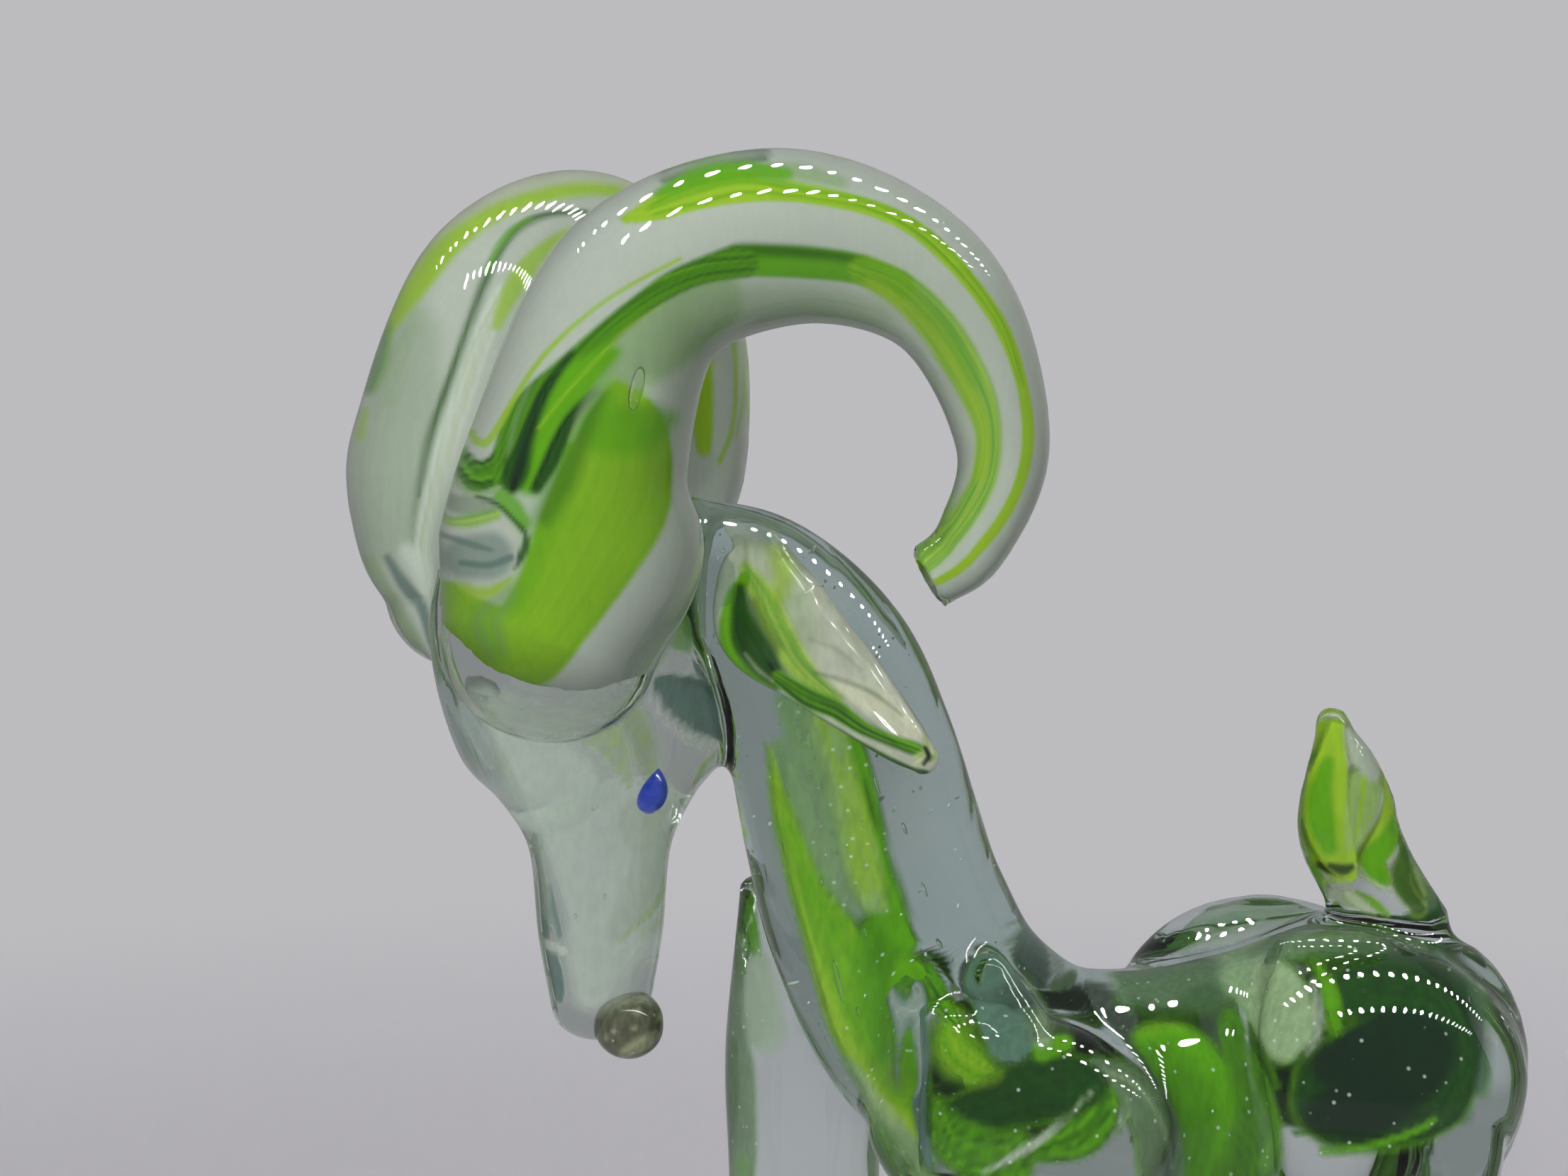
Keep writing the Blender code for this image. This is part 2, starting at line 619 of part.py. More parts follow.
def front_leg_gather(side):
    left = side > 0
    name = "left_front_leg" if left else "right_front_leg"
    x = LEFT_SHOULDER_X if left else RIGHT_SHOULDER_X
    leg_x = LEFT_FRONT_LEG_X if left else RIGHT_SHOULDER_X
    half_length = LEFT_SHOULDER_HALF_LENGTH if left else RIGHT_SHOULDER_HALF_LENGTH
    rise = LEFT_SHOULDER_TOP_RISE if left else RIGHT_SHOULDER_TOP_RISE
    shift = LEFT_SHOULDER_TOP_SHIFT if left else RIGHT_SHOULDER_TOP_SHIFT
    tuck = LEFT_SHOULDER_TUCK if left else RIGHT_SHOULDER_TUCK
    thick = SHOULDER_HALF_THICKNESS
    lobe = (x, half_length, rise, shift, thick, SHOULDER_SIDE, tuck, SHOULDER_FULLNESS)
    upper = (between(x, leg_x, 0.55), between(BARREL_HEIGHT, ELBOW_HEIGHT, 0.5))
    joints = [
        (*upper, between(half_length, ELBOW_HALF_LENGTH, 0.4), thick),
        (leg_x, ELBOW_HEIGHT, ELBOW_HALF_LENGTH, thick),
        (leg_x - FRONT_FOOT_REACH * 0.3, KNEE_HEIGHT, KNEE_HALF_WIDTH, KNEE_HALF_WIDTH),
        (leg_x - FRONT_FOOT_REACH * 0.7, FETLOCK_HEIGHT, FETLOCK_HALF_WIDTH, FETLOCK_HALF_WIDTH),
    ]
    return leg_gather(name, side, lobe, joints, leg_x - FRONT_FOOT_REACH)


def shoulder_notch_gather():
    """The tool mark that parts the top of the left shoulder into two peaks."""
    height = BARREL_HEIGHT + LEFT_SHOULDER_TOP_RISE
    ends = [Vector((NOTCH_X, -y, height)) for y in (2 * SHOULDER_SIDE, 0.0)]
    stations = [(end, NOTCH_DEPTH, NOTCH_HALF_WIDTH) for end in ends]
    return Gather("shoulder_notch", stations, FORWARD, (0.0, 0.0), FACETS_SMALL, steps=1)


def hind_leg_gather(side):
    left = side > 0
    name = "left_hind_leg" if left else "right_hind_leg"
    x = HAUNCH_X if left else HAUNCH_X + RIGHT_HIND_SHIFT
    thick = HAUNCH_HALF_THICKNESS
    half_length = HAUNCH_HALF_LENGTH
    lobe = (
        x,
        half_length,
        HAUNCH_TOP_RISE,
        HAUNCH_TOP_SHIFT,
        thick,
        HAUNCH_SIDE,
        HAUNCH_TUCK,
        HAUNCH_FULLNESS,
    )
    upper_height = between(BARREL_HEIGHT, ELBOW_HEIGHT, 0.5)
    back = x + HOCK_SET_BACK
    joints = [
        (x, upper_height, between(half_length, STIFLE_HALF_LENGTH, 0.4), thick),
        (x, ELBOW_HEIGHT, STIFLE_HALF_LENGTH, thick),
        (back, KNEE_HEIGHT, KNEE_HALF_WIDTH, KNEE_HALF_WIDTH),
        (back, FETLOCK_HEIGHT, FETLOCK_HALF_WIDTH, FETLOCK_HALF_WIDTH),
    ]
    return leg_gather(name, side, lobe, joints, back - HIND_FOOT_REACH)


def leg_core_gather(leg):
    """The colour in the lobe and the upper leg. It ends above the knee."""
    walls = [LEG_WALL, LEG_WALL, LEG_WALL, LEG_WALL * 1.3]
    return leg.thinned(walls, (LEG_WALL / 2, LEG_WALL), first=1)


def tail_gather():
    def at(lean, rise):
        return Vector((TAIL_X - TAIL_LEAN * lean, 0.0, BARREL_HEIGHT + rise))

    stations = [
        (at(0.0, TAIL_ROOT_RISE), TAIL_ROOT_HALF_LENGTH, TAIL_HALF_THICKNESS * 1.4),
        (at(0.28, TAIL_STALK_RISE), TAIL_STALK_HALF_LENGTH, TAIL_HALF_THICKNESS * 1.1),
        (at(0.74, TAIL_LEAF_RISE), TAIL_LEAF_HALF_LENGTH, TAIL_HALF_THICKNESS),
        (at(1.0, TAIL_TIP_RISE), TAIL_TIP_HALF_LENGTH, TAIL_HALF_THICKNESS * 0.6),
    ]
    return Gather("tail", stations, LEFT, (TAIL_HALF_THICKNESS, TAIL_TIP_DOME), FACETS_SMALL)


def tail_core_gather(tail):
    walls = [TAIL_WALL * 1.5, TAIL_WALL, TAIL_WALL]
    return tail.thinned(walls, (TAIL_WALL, TAIL_WALL))


def clear_scene():
    for obj in list(bpy.data.objects):
        bpy.data.objects.remove(obj, do_unlink=True)


def stand_on_origin(root):
    """Put the origin under the middle of the figure's bounding box."""
    visible = [obj for obj in root.children if not obj.hide_render]
    points = [vertex.co for obj in visible for vertex in obj.data.vertices]
    for axis in (0, 1):
        values = [point[axis] for point in points]
        root.location[axis] = -between(min(values), max(values), 0.5)


def build_ram():
    root = bpy.data.objects.new("ram", None)
    bpy.context.scene.collection.objects.link(root)
    aqua = glass("aqua_clear", (0.80, 0.90, 0.92))
    green = glass("green_core", (0.12, 0.38, 0.03), 0.2, 0.2)
    veil = glass("milky_veil", (0.60, 0.70, 0.62), 0.3, 0.4)
    striped = glass("striped_cane", (0.45, 0.62, 0.30), 0.2, 0.1)
    leaf = glass("leaf_green", (0.40, 0.55, 0.15), 0.1, 0.3)
    cobalt = glass("cobalt", (0.01, 0.04, 0.42), 0.05, 0.3)
    smoke = glass("smoke_bead", (0.25, 0.24, 0.20), 0.05, 0.7)

    body = body_gather()
    body_core = body_core_gather(body)
    piece(body, aqua, root, [body_core])
    piece(body_core, green, root)

    head = head_gather()
    head_core = head_core_gather(head)
    piece(head, aqua, root, [body, body_core, head_core])
    piece(head_core, veil, root, [body, body_core])

    horns = []
    for side in (1, -1):
        horn = horn_gather(side)
        core = horn_core_gather(horn)
        neighbours = [body, head, *horns]
        piece(horn, aqua, root, [*neighbours, core])
        piece(core, striped, root, neighbours)
        horns.append(horn)

    for side, name in ((1, "left_eye"), (-1, "right_eye")):
        piece(ear_gather(side), leaf, root, [body, head])
        eye = in_head(EYE_FORWARD, side * EYE_SIDE, -EYE_DROP)
        piece(drop_gather(name, eye, EYE_HALF_HEIGHT, EYE_HALF_WIDTH), cobalt, root, [head])
    nose = in_head(NOSE_FORWARD, NOSE_SIDE, -NOSE_DROP)
    piece(drop_gather("nose", nose, NOSE_RADIUS, NOSE_RADIUS), smoke, root, [head])

    notch = shoulder_notch_gather()
    for side in (1, -1):
        for leg, tool_marks in ((front_leg_gather(side), [notch]), (hind_leg_gather(side), [])):
            core = leg_core_gather(leg)
            marks = tool_marks if side > 0 else []
            piece(leg, aqua, root, [body, core, *marks])
            piece(core, green, root, [body])

    tail = tail_gather()
    tail_core = tail_core_gather(tail)
    piece(tail, aqua, root, [body, tail_core])
    piece(tail_core, green, root, [body])
    stand_on_origin(root)


clear_scene()
build_ram()
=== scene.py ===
"""Dresses the glass ram: clear casing melted into one skin, with swirls of colour cased inside.

Places are in millimetres in the ram's own axes: +Z up, facing -X, its left side -Y. The row
frame differs by the small shift that centres the figure, read from the left hind foot.
"""

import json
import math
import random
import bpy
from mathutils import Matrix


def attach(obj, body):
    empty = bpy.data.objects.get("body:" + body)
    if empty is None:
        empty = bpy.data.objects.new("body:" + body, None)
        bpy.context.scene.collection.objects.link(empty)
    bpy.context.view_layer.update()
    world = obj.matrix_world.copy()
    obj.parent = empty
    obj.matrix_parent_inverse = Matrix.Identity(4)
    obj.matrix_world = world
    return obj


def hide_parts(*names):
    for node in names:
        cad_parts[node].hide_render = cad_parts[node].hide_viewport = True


bl_info = {
    "name": "Glass Ram",
    "version": (1, 0, 0),
    "blender": (4, 5, 0),
    "location": "3D View > Sidebar > Glass Ram",
    "description": "Dresses the ram's solids as hot-worked clear glass with colour swirls",
    "category": "Object",
}

import bpy
import numpy as np
from mathutils import Vector, kdtree, noise
from mathutils.bvhtree import BVHTree

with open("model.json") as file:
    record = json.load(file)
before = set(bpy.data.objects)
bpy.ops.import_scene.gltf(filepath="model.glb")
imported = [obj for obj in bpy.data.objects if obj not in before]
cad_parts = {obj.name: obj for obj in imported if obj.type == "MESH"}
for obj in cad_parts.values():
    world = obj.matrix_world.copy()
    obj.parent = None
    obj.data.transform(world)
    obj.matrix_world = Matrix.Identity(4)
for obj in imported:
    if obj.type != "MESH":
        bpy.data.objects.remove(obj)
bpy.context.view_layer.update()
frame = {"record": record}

MM = 0.001
HIND_FOOT = (32.0, -10.0)
FEET = {mount["name"]: mount["pos_m"] for mount in frame["record"]["mounts"]}
SHIFT = np.array([place / MM - own for place, own in zip(FEET["left_hind_foot"], (*HIND_FOOT, 0.0))])

# The main view, as a pinhole: its eye, how far it looks down, and its picture
EYE_PLACE = np.array([-10.0, -189.28, 96.56])
LOOK_DOWN = math.radians(5.0)
PICTURE = (2212, 1659)
FOCAL = 3800.0

# Light
GLASS_INDEX = 1.5
AIR_IN_GLASS_INDEX = 0.667
LAMP_SHARE = 0.93  # of a lamp's light, how much each wall of clear glass lets through
MIRROR_SHARE = 0.55  # of the room's light, how much mirror-like rays find
BEAD_GLOW = (60.0, 60.0, 60.0)  # of the small lamps overhead that the glass mirrors

# How the clear pieces melt together
EVEN_ROUNDS = 12  # that take the voxel steps off the skin
SEAM_REACH = 2.6  # from a seam, how far the easing spreads, and over what length it fades
SEAM_FADE = 2.4
SEAM_EASE = 18.0

NOISE_START = 7
BROKEN_END_SLANT = -0.141
LEG_CORE_WALL = 1.1
RAY_STEP = 5  # in pixels of the picture
LEAST_SOFTNESS = 3  # in pixels, of the edge of a stroke
FLOOR_RADIUS = 0.9  # in metres

LEFT = (0.0, -1.0, 0.0)
DOWN = (0.0, 0.0, -1.0)
HEAD_LEFT = (0.515, -0.857, 0.0)

# Runs of clear glass: x, y, z, half depth, half width at each station
BODY = (
    (-18.0, 0.0, 81.5, 5.2, 5.6),
    (-12.62, 0.0, 79.39, 6.3, 6.4),
    (-8.4, 0.0, 74.7, 7.4, 7.2),
    (-6.08, 0.0, 68.97, 8.0, 7.68),
    (-4.4, 0.0, 62.5, 8.4, 8.0),
    (-2.62, 0.0, 56.52, 8.7, 8.5),
    (1.0, 0.0, 49.5, 9.0, 9.0),
    (7.54, 0.0, 44.23, 9.18, 9.54),
    (15.21, 0.0, 43.3, 9.2, 9.6),
    (23.05, 0.0, 44.38, 9.83, 9.78),
    (30.0, 0.0, 45.7, 10.6, 10.0),
    (35.6, 0.0, 45.2, 10.1, 9.4),
)
HEAD = (
    (-24.86, -4.12, 90.0, 5.0, 5.0),
    (-24.86, -4.12, 83.95, 8.6, 7.47),
    (-24.86, -4.12, 76.55, 9.8, 7.9),
    (-23.14, -3.09, 69.3, 10.0, 6.8),
    (-22.99, -3.0, 65.65, 7.0, 5.8),
    (-22.89, -2.94, 62.0, 5.0, 4.8),
    (-22.89, -2.94, 55.84, 4.4, 4.24),
    (-22.89, -2.94, 50.8, 3.5, 3.4),
)
LEFT_HORN = (
    (-25.47, -13.59, 77.5, 7.2, 7.4),
    (-23.89, -13.31, 83.95, 8.7, 7.6),
    (-23.3, -13.21, 90.4, 7.2, 7.6),
    (-18.99, -12.45, 100.72, 6.23, 6.17),
    (-8.83, -10.65, 104.1, 5.7, 5.4),
    (0.69, -8.97, 100.11, 4.37, 4.18),
    (4.67, -8.27, 90.46, 3.18, 3.1),
    (2.56, -8.64, 83.81, 2.55, 2.52),
    (-0.34, -9.16, 81.48, 2.2, 2.2),
)
RIGHT_HORN = (
    (-33.1, -0.1, 79.8, 5.0, 5.0),
    (-33.5, 0.2, 82.7, 6.6, 6.2),
    (-33.29, 0.58, 86.2, 7.7, 7.1),
    (-32.92, 1.05, 90.4, 7.2, 7.6),
    (-30.23, 4.5, 100.72, 6.23, 6.17),
    (-23.87, 12.64, 104.1, 5.7, 5.4),
    (-17.27, 21.08, 98.93, 4.1, 3.92),
    (-15.65, 23.16, 87.33, 2.68, 2.59),
    (-18.31, 19.75, 80.62, 1.92, 1.89),
    (-20.76, 16.61, 79.07, 1.5, 1.5),
)
LEFT_EAR = (
    (-12.71, -5.69, 79.9, 4.39, 1.79),
    (-10.25, -6.35, 77.78, 4.9, 1.9),
    (-6.55, -7.34, 74.6, 3.61, 1.63),
    (-3.46, -8.17, 71.95, 2.52, 1.41),
    (-0.38, -9.0, 69.3, 1.5, 1.2),
)
# The near ear as the picture shows it: across, down, y, half depth, half width
LEFT_LEAF = (
    (1040, 748, -4.9, 0.7, 0.5), (1060, 765, -5.1, 1.87, 1.0), (1071, 809, -5.4, 3.06, 1.5),
    (1081, 846, -5.7, 3.9, 1.75), (1092, 873, -6.0, 4.2, 1.85), (1113, 896, -6.4, 3.95, 1.85),
    (1152, 930, -6.9, 3.35, 1.7), (1196, 970, -7.5, 2.87, 1.5), (1236, 1008, -8.1, 2.3, 1.4),
    (1277, 1047, -8.7, 1.67, 1.25), (1305, 1072, -9.0, 1.05, 1.0),
)
RIGHT_EAR = (
    (-20.95, 5.69, 81.9, 4.39, 1.79),
    (-19.42, 7.22, 79.13, 4.9, 1.9),
    (-17.12, 9.52, 74.97, 3.61, 1.63),
    (-15.21, 11.44, 71.5, 2.52, 1.41),
    (-13.29, 13.35, 68.03, 1.5, 1.2),
)
LEFT_FRONT_LEG = (
    (2.3, -8.3, 51.6, 4.2, 2.3),
    (5.1, -8.4, 49.75, 6.62, 3.74),
    (7.9, -8.6, 44.4, 9.2, 4.4),
    (6.53, -8.8, 37.15, 7.68, 4.4),
    (5.4, -9.0, 31.0, 5.4, 4.4),
    (4.92, -9.37, 19.5, 3.6, 3.6),
    (4.28, -9.73, 8.5, 2.9, 2.9),
    (3.8, -10.0, 2.6, 4.1, 3.7),
    (3.8, -10.0, 0.0, 4.1, 3.7),
)
LEFT_HIND_LEG = (
    (28.2, -5.0, 55.45, 4.54, 2.07),
    (29.6, -6.8, 50.22, 7.56, 3.91),
    (31.0, -8.6, 44.45, 8.4, 4.6),
    (31.0, -8.8, 37.15, 7.28, 4.6),
    (31.0, -9.0, 31.0, 5.6, 4.6),
    (33.4, -9.37, 19.5, 3.6, 3.6),
    (33.4, -9.73, 8.5, 2.9, 2.9),
    (32.0, -10.0, 2.6, 4.1, 3.7),
    (32.0, -10.0, 0.0, 4.1, 3.7),
)
RIGHT_FRONT_LEG = (
    (-10.7, 6.0, 57.4, 2.55, 1.98),
    (-9.6, 7.3, 51.2, 4.25, 3.74),
    (-8.5, 8.6, 44.4, 5.9, 4.4),
    (-8.5, 8.8, 37.15, 5.7, 4.4),
    (-8.5, 9.0, 31.0, 5.4, 4.4),
    (-8.98, 9.37, 19.5, 3.6, 3.6),
    (-9.62, 9.73, 8.5, 2.9, 2.9),
    (-10.1, 10.0, 2.6, 4.1, 3.7),
    (-10.1, 10.0, 0.0, 4.1, 3.7),
)
RIGHT_HIND_LEG = (
    (24.4, 5.0, 55.45, 4.54, 2.07),
    (25.8, 6.8, 50.22, 7.56, 3.91),
    (27.2, 8.6, 44.45, 8.4, 4.6),
    (27.2, 8.8, 37.15, 7.28, 4.6),
    (27.2, 9.0, 31.0, 5.6, 4.6),
    (29.6, 9.37, 19.5, 3.6, 3.6),
    (29.6, 9.73, 8.5, 2.9, 2.9),
    (28.2, 10.0, 2.6, 4.1, 3.7),
    (28.2, 10.0, 0.0, 4.1, 3.7),
)
TAIL = (
    (33.6, 0.0, 54.9, 4.2, 3.22),
    (31.6, 0.0, 59.3, 3.5, 2.5),
    (30.2, 0.0, 62.4, 3.55, 2.35),
    (29.9, 0.0, 64.6, 3.4, 2.3),
    (29.5, 0.0, 67.4, 2.5, 1.9),
    (28.95, 0.0, 69.9, 1.3, 1.3),
)
# Lumps and rims of clear glass on the pieces: x, y, z, half width along each run
LUMPS = (
    ("left_front_leg", ((-1.0, -8.7, 47.0, 1.6), (-1.3, -8.6, 51.5, 1.4), (-1.3, -8.3, 54.5, 1.1))),
    ("left_front_leg", ((7.5, -9.2, 46.5, 3.0), (5.6, -9.0, 50.5, 2.6), (4.1, -8.5, 54.3, 1.5))),
    ("left_front_leg", (
        (-1.9, -8.6, 53.0, 0.7), (-2.0, -8.9, 49.0, 0.7), (-1.7, -9.0, 45.0, 0.7), (-1.0, -9.2, 41.5, 0.7),
        (-0.5, -9.2, 37.0, 0.6),
    )),
    ("tail", ((31.4, -0.3, 55.6, 1.8), (30.4, -0.4, 58.6, 1.6))),
)
# Eggs of clear glass that round the haunches and the shoulder: centre and three half sizes
EGGS = (
    ("left_hind_leg", (31.0, -5.3, 46.2), (10.6, 8.0, 9.4)),
    ("left_front_leg", (5.2, -5.2, 43.8), (9.5, 7.8, 8.1)),
    ("right_hind_leg", (25.2, 5.3, 46.5), (11.4, 8.0, 10.4)),
)
EYES = {"left_eye": (-19.02, -7.62, 67.0), "right_eye": (-25.2, 2.67, 67.0)}
NOSE = (-20.81, -4.84, 49.9)
LEFT_HORN_SIDE = (0.174, -0.985, 0.0)
RIGHT_HORN_SIDE = (0.788, -0.616, 0.0)
LEFT_EAR_SIDE = (0.259, 0.966, 0.0)
RIGHT_EAR_SIDE = (0.707, -0.707, 0.0)

# Strokes of colour, later ones over earlier: colour, softness of the edge, then places along
# the stroke in the main view's picture (across, down, half width), and strength if not full
LEFT_HORN_STROKES = (
    ("mint", 19, ((986, 440, 31), (1061, 428, 25), (1155, 431, 22), (1242, 443, 19)), 0.5),
    ("mint", 12, (
        (1000, 425, 50), (930, 475, 55), (870, 520, 46), (825, 565, 30), (792, 612, 18), (770, 650, 12),
        (752, 690, 6),
    )),
    ("lime grass", 5, (
        (862, 556, 24), (876, 615, 66), (868, 690, 84), (830, 768, 78), (788, 846, 66), (745, 902, 62),
        (700, 904, 52), (660, 872, 34), (632, 832, 14),
    )),
    ("grass", 16, ((850, 556, 16), (845, 600, 36), (900, 605, 34), (945, 590, 12)), 0.85),
    ("grass", 18, ((800, 640, 20), (775, 720, 22), (750, 790, 18), (728, 850, 14)), 0.6),
    ("grass sage", 12, ((712, 836, 18), (685, 876, 26), (700, 915, 20)), 0.5),
    ("bottle", 14, ((842, 556, 12), (815, 620, 18), (795, 680, 18), (770, 730, 12)), 0.55),
    ("lime", 8, ((640, 812, 5), (662, 832, 8), (690, 834, 8), (716, 816, 5)), 0.9),
    ("grass bottle", 4, ((640, 600, 4), (646, 645, 16), (672, 672, 24), (704, 662, 24), (722, 625, 18))),
    ("grass", 4, (
        (905, 409, 25), (968, 381, 24), (1030, 370, 23), (1092, 369, 23), (1155, 372, 23), (1218, 382, 22),
        (1268, 404, 22),
    )),
    ("bottle", 8, (
        (905, 391, 10), (968, 365, 9), (1030, 354, 9), (1092, 354, 9), (1155, 358, 8), (1218, 368, 5),
    ), 0.75),
    ("lime grass", 6, (
        (1218, 382, 19), (1268, 404, 24), (1311, 446, 28), (1346, 496, 29), (1377, 552, 25), (1394, 609, 19),
        (1389, 671, 19), (1364, 721, 20), (1321, 774, 19), (1292, 799, 18),
    ), 0.9),
    ("lime", 9, (
        (1230, 400, 9), (1290, 440, 12), (1330, 490, 12), (1362, 550, 12), (1385, 610, 10), (1382, 670, 10),
    ), 0.7),
    ("grass", 9, ((1218, 378, 10), (1268, 401, 11), (1311, 440, 12), (1346, 484, 10), (1374, 540, 6)), 0.5),
    ("grass bottle", 5, (
        (1050, 372, 21), (984, 380, 23), (925, 402, 27), (872, 436, 31), (830, 472, 33), (790, 512, 34),
        (757, 552, 33), (735, 600, 30), (722, 640, 26), (714, 676, 18),
    )),
    ("grass", 10, ((862, 500, 14), (815, 540, 30), (785, 580, 38), (762, 630, 36), (746, 676, 24))),
    ("bottle pitch", 6, (
        (805, 498, 4), (772, 545, 9), (752, 590, 11), (739, 630, 14), (728, 668, 18), (722, 692, 8),
    )),
    ("bottle pitch", 5, ((838, 552, 5), (806, 590, 9), (788, 625, 11), (775, 655, 11), (757, 690, 8))),
    ("mint", 6, ((905, 486, 8), (858, 530, 9), (822, 580, 6), (806, 620, 3)), 0.5),
    ("mint", 3, ((750, 540, 2), (728, 590, 3), (716, 640, 3)), 0.35),
    ("lime", 2, ((936, 430, 2), (888, 460, 2), (840, 508, 2), (800, 552, 2), (760, 604, 2)), 0.6),
    ("grass", 6, ((705, 700, 10), (722, 715, 14), (738, 738, 12)), 0.9),
    ("sage", 5, ((626, 705, 6), (650, 712, 14), (690, 712, 12)), 0.6),
    ("grass lime", 5, ((630, 735, 6), (662, 735, 10), (700, 726, 8)), 0.8),
    ("mint", 3, ((634, 655, 3), (650, 688, 5), (676, 698, 5), (704, 688, 4)), 0.8),
    ("bottle", 3, (
        (672, 700, 2), (700, 711, 3), (724, 733, 3), (742, 755, 4), (738, 778, 6), (724, 800, 4),
    ), 0.9),
    ("opal", 4, (
        (1010, 318, 34), (920, 342, 46), (850, 388, 50), (800, 432, 48), (748, 482, 44), (716, 520, 36),
        (695, 562, 24), (682, 602, 8),
    )),
    ("lime", 2, (
        (652, 540, 2), (656, 585, 4), (666, 616, 6), (684, 624, 6), (704, 598, 5), (733, 548, 4),
        (775, 492, 4), (828, 444, 3), (888, 402, 3), (960, 364, 3),
    ), 0.9),
    ("lime", 2, (
        (880, 309, 6), (924, 293, 18), (986, 271, 25), (1049, 265, 22), (1130, 271, 15), (1218, 289, 12),
        (1280, 315, 12), (1330, 354, 12), (1380, 412, 11), (1418, 471, 11), (1441, 540, 9), (1450, 615, 9),
        (1438, 684, 8), (1405, 746, 8), (1355, 799, 7), (1311, 826, 6),
    )),
    ("grass lime", 4, (
        (924, 293, 10), (986, 271, 18), (1049, 259, 16), (1130, 270, 9), (1218, 285, 8), (1280, 312, 8),
        (1330, 351, 8), (1380, 409, 6), (1418, 468, 5), (1441, 540, 3),
    ), 0.9),
    ("bottle", 6, ((936, 252, 5), (999, 237, 9), (1080, 222, 6)), 0.7),
    ("mint", 8, ((1074, 241, 10), (1130, 243, 14), (1186, 256, 10)), 0.9),
    # Painted see-through: an opaque opal patch with slate lines stands in for the pale backdrop, and its dark
    # refracted edges, seen through a clear pocket in the horn's root
    ("opal", 4, ((652, 786, 34), (690, 784, 38))),
    ("slate", 10, ((652, 786, 30), (690, 784, 34)), 0.6),
    ("slate", 3, ((630, 756, 4), (664, 768, 5), (692, 776, 3)), 0.7),
    ("slate", 3, ((648, 793, 4), (688, 797, 5), (720, 786, 5)), 0.8),
    ("grass", 6, ((930, 270, 8), (986, 247, 15), (1049, 240, 14), (1110, 246, 9)), 0.95),
)
RIGHT_HORN_STROKES = (
    ("sage mint", 20, ((590, 470, 30), (572, 560, 52), (556, 660, 62), (552, 750, 50)), 0.42),
    ("cream", 12, (
        (500, 560, 14), (520, 480, 16), (548, 410, 18), (600, 345, 20), (660, 300, 20), (740, 262, 16),
        (820, 252, 14), (890, 262, 10),
    ), 0.8),
    ("lime", 8, (
        (545, 470, 6), (560, 440, 14), (590, 400, 17), (625, 355, 17), (660, 325, 14), (710, 295, 12),
        (770, 275, 11), (830, 268, 10), (890, 270, 8),
    ), 0.95),
    ("sage grass", 9, ((540, 465, 12), (530, 505, 18), (518, 545, 12)), 0.9),
    ("lime", 7, ((507, 615, 6), (514, 580, 4)), 0.7),
    ("mint", 14, ((590, 440, 10), (560, 500, 14), (545, 560, 12)), 0.45),
    ("cream milk", 8, (
        (706, 415, 14), (672, 480, 20), (650, 540, 22), (632, 600, 20), (615, 660, 18), (600, 720, 15),
        (592, 770, 13), (604, 830, 11),
    ), 0.8),
    ("lime", 6, ((800, 325, 4), (768, 350, 9), (738, 385, 14), (716, 420, 12), (700, 458, 7)), 0.85),
    ("sage", 5, (
        (828, 300, 3), (770, 306, 6), (732, 324, 8), (708, 352, 8), (686, 392, 9), (668, 440, 9),
        (650, 490, 9), (630, 550, 9), (610, 610, 9), (596, 670, 7), (584, 730, 4), (580, 775, 2),
    ), 0.6),
    ("bottle", 3, (
        (828, 298, 2), (770, 303, 3), (735, 318, 4), (712, 345, 4), (690, 385, 4), (670, 430, 3),
        (652, 480, 3), (632, 540, 4), (612, 600, 3), (600, 650, 2), (592, 700, 1),
    ), 0.75),
    ("grass", 4, ((750, 308, 3), (724, 324, 5), (702, 350, 5), (688, 382, 4)), 0.7),
    ("opal", 3, ((805, 308, 2), (756, 322, 4), (728, 345, 5), (706, 385, 4)), 0.7),
    ("lime", 7, ((992, 490, 14), (988, 564, 18), (994, 630, 14))),
    ("opal", 5, ((1024, 480, 8), (1020, 564, 8), (1012, 640, 8))),
    ("opal", 4, ((972, 540, 3), (970, 590, 4), (978, 645, 4))),
    ("lime", 3, ((1036, 470, 4), (1040, 530, 4), (1034, 600, 4), (1016, 652, 4)), 0.8),
    ("lime", 3, ((1048, 484, 2), (1050, 556, 2), (1040, 616, 2)), 0.6),
    ("mint", 8, ((522, 790, 9), (546, 845, 13), (572, 895, 13), (600, 945, 10)), 0.8),
    # Painted shade: slate strokes stand in for the grey shading in the clear glass low on the far horn's root
    ("slate", 6, ((546, 786, 5), (568, 822, 9), (596, 862, 10), (620, 920, 12), (645, 965, 10)), 0.85),
    ("slate", 4, ((570, 905, 3), (588, 930, 6), (606, 955, 5)), 0.7),
    ("milk", 8, ((575, 778, 12), (600, 815, 14), (612, 850, 8)), 0.6),
    ("cream", 3, ((612, 835, 4), (620, 852, 4)), 0.6),
)
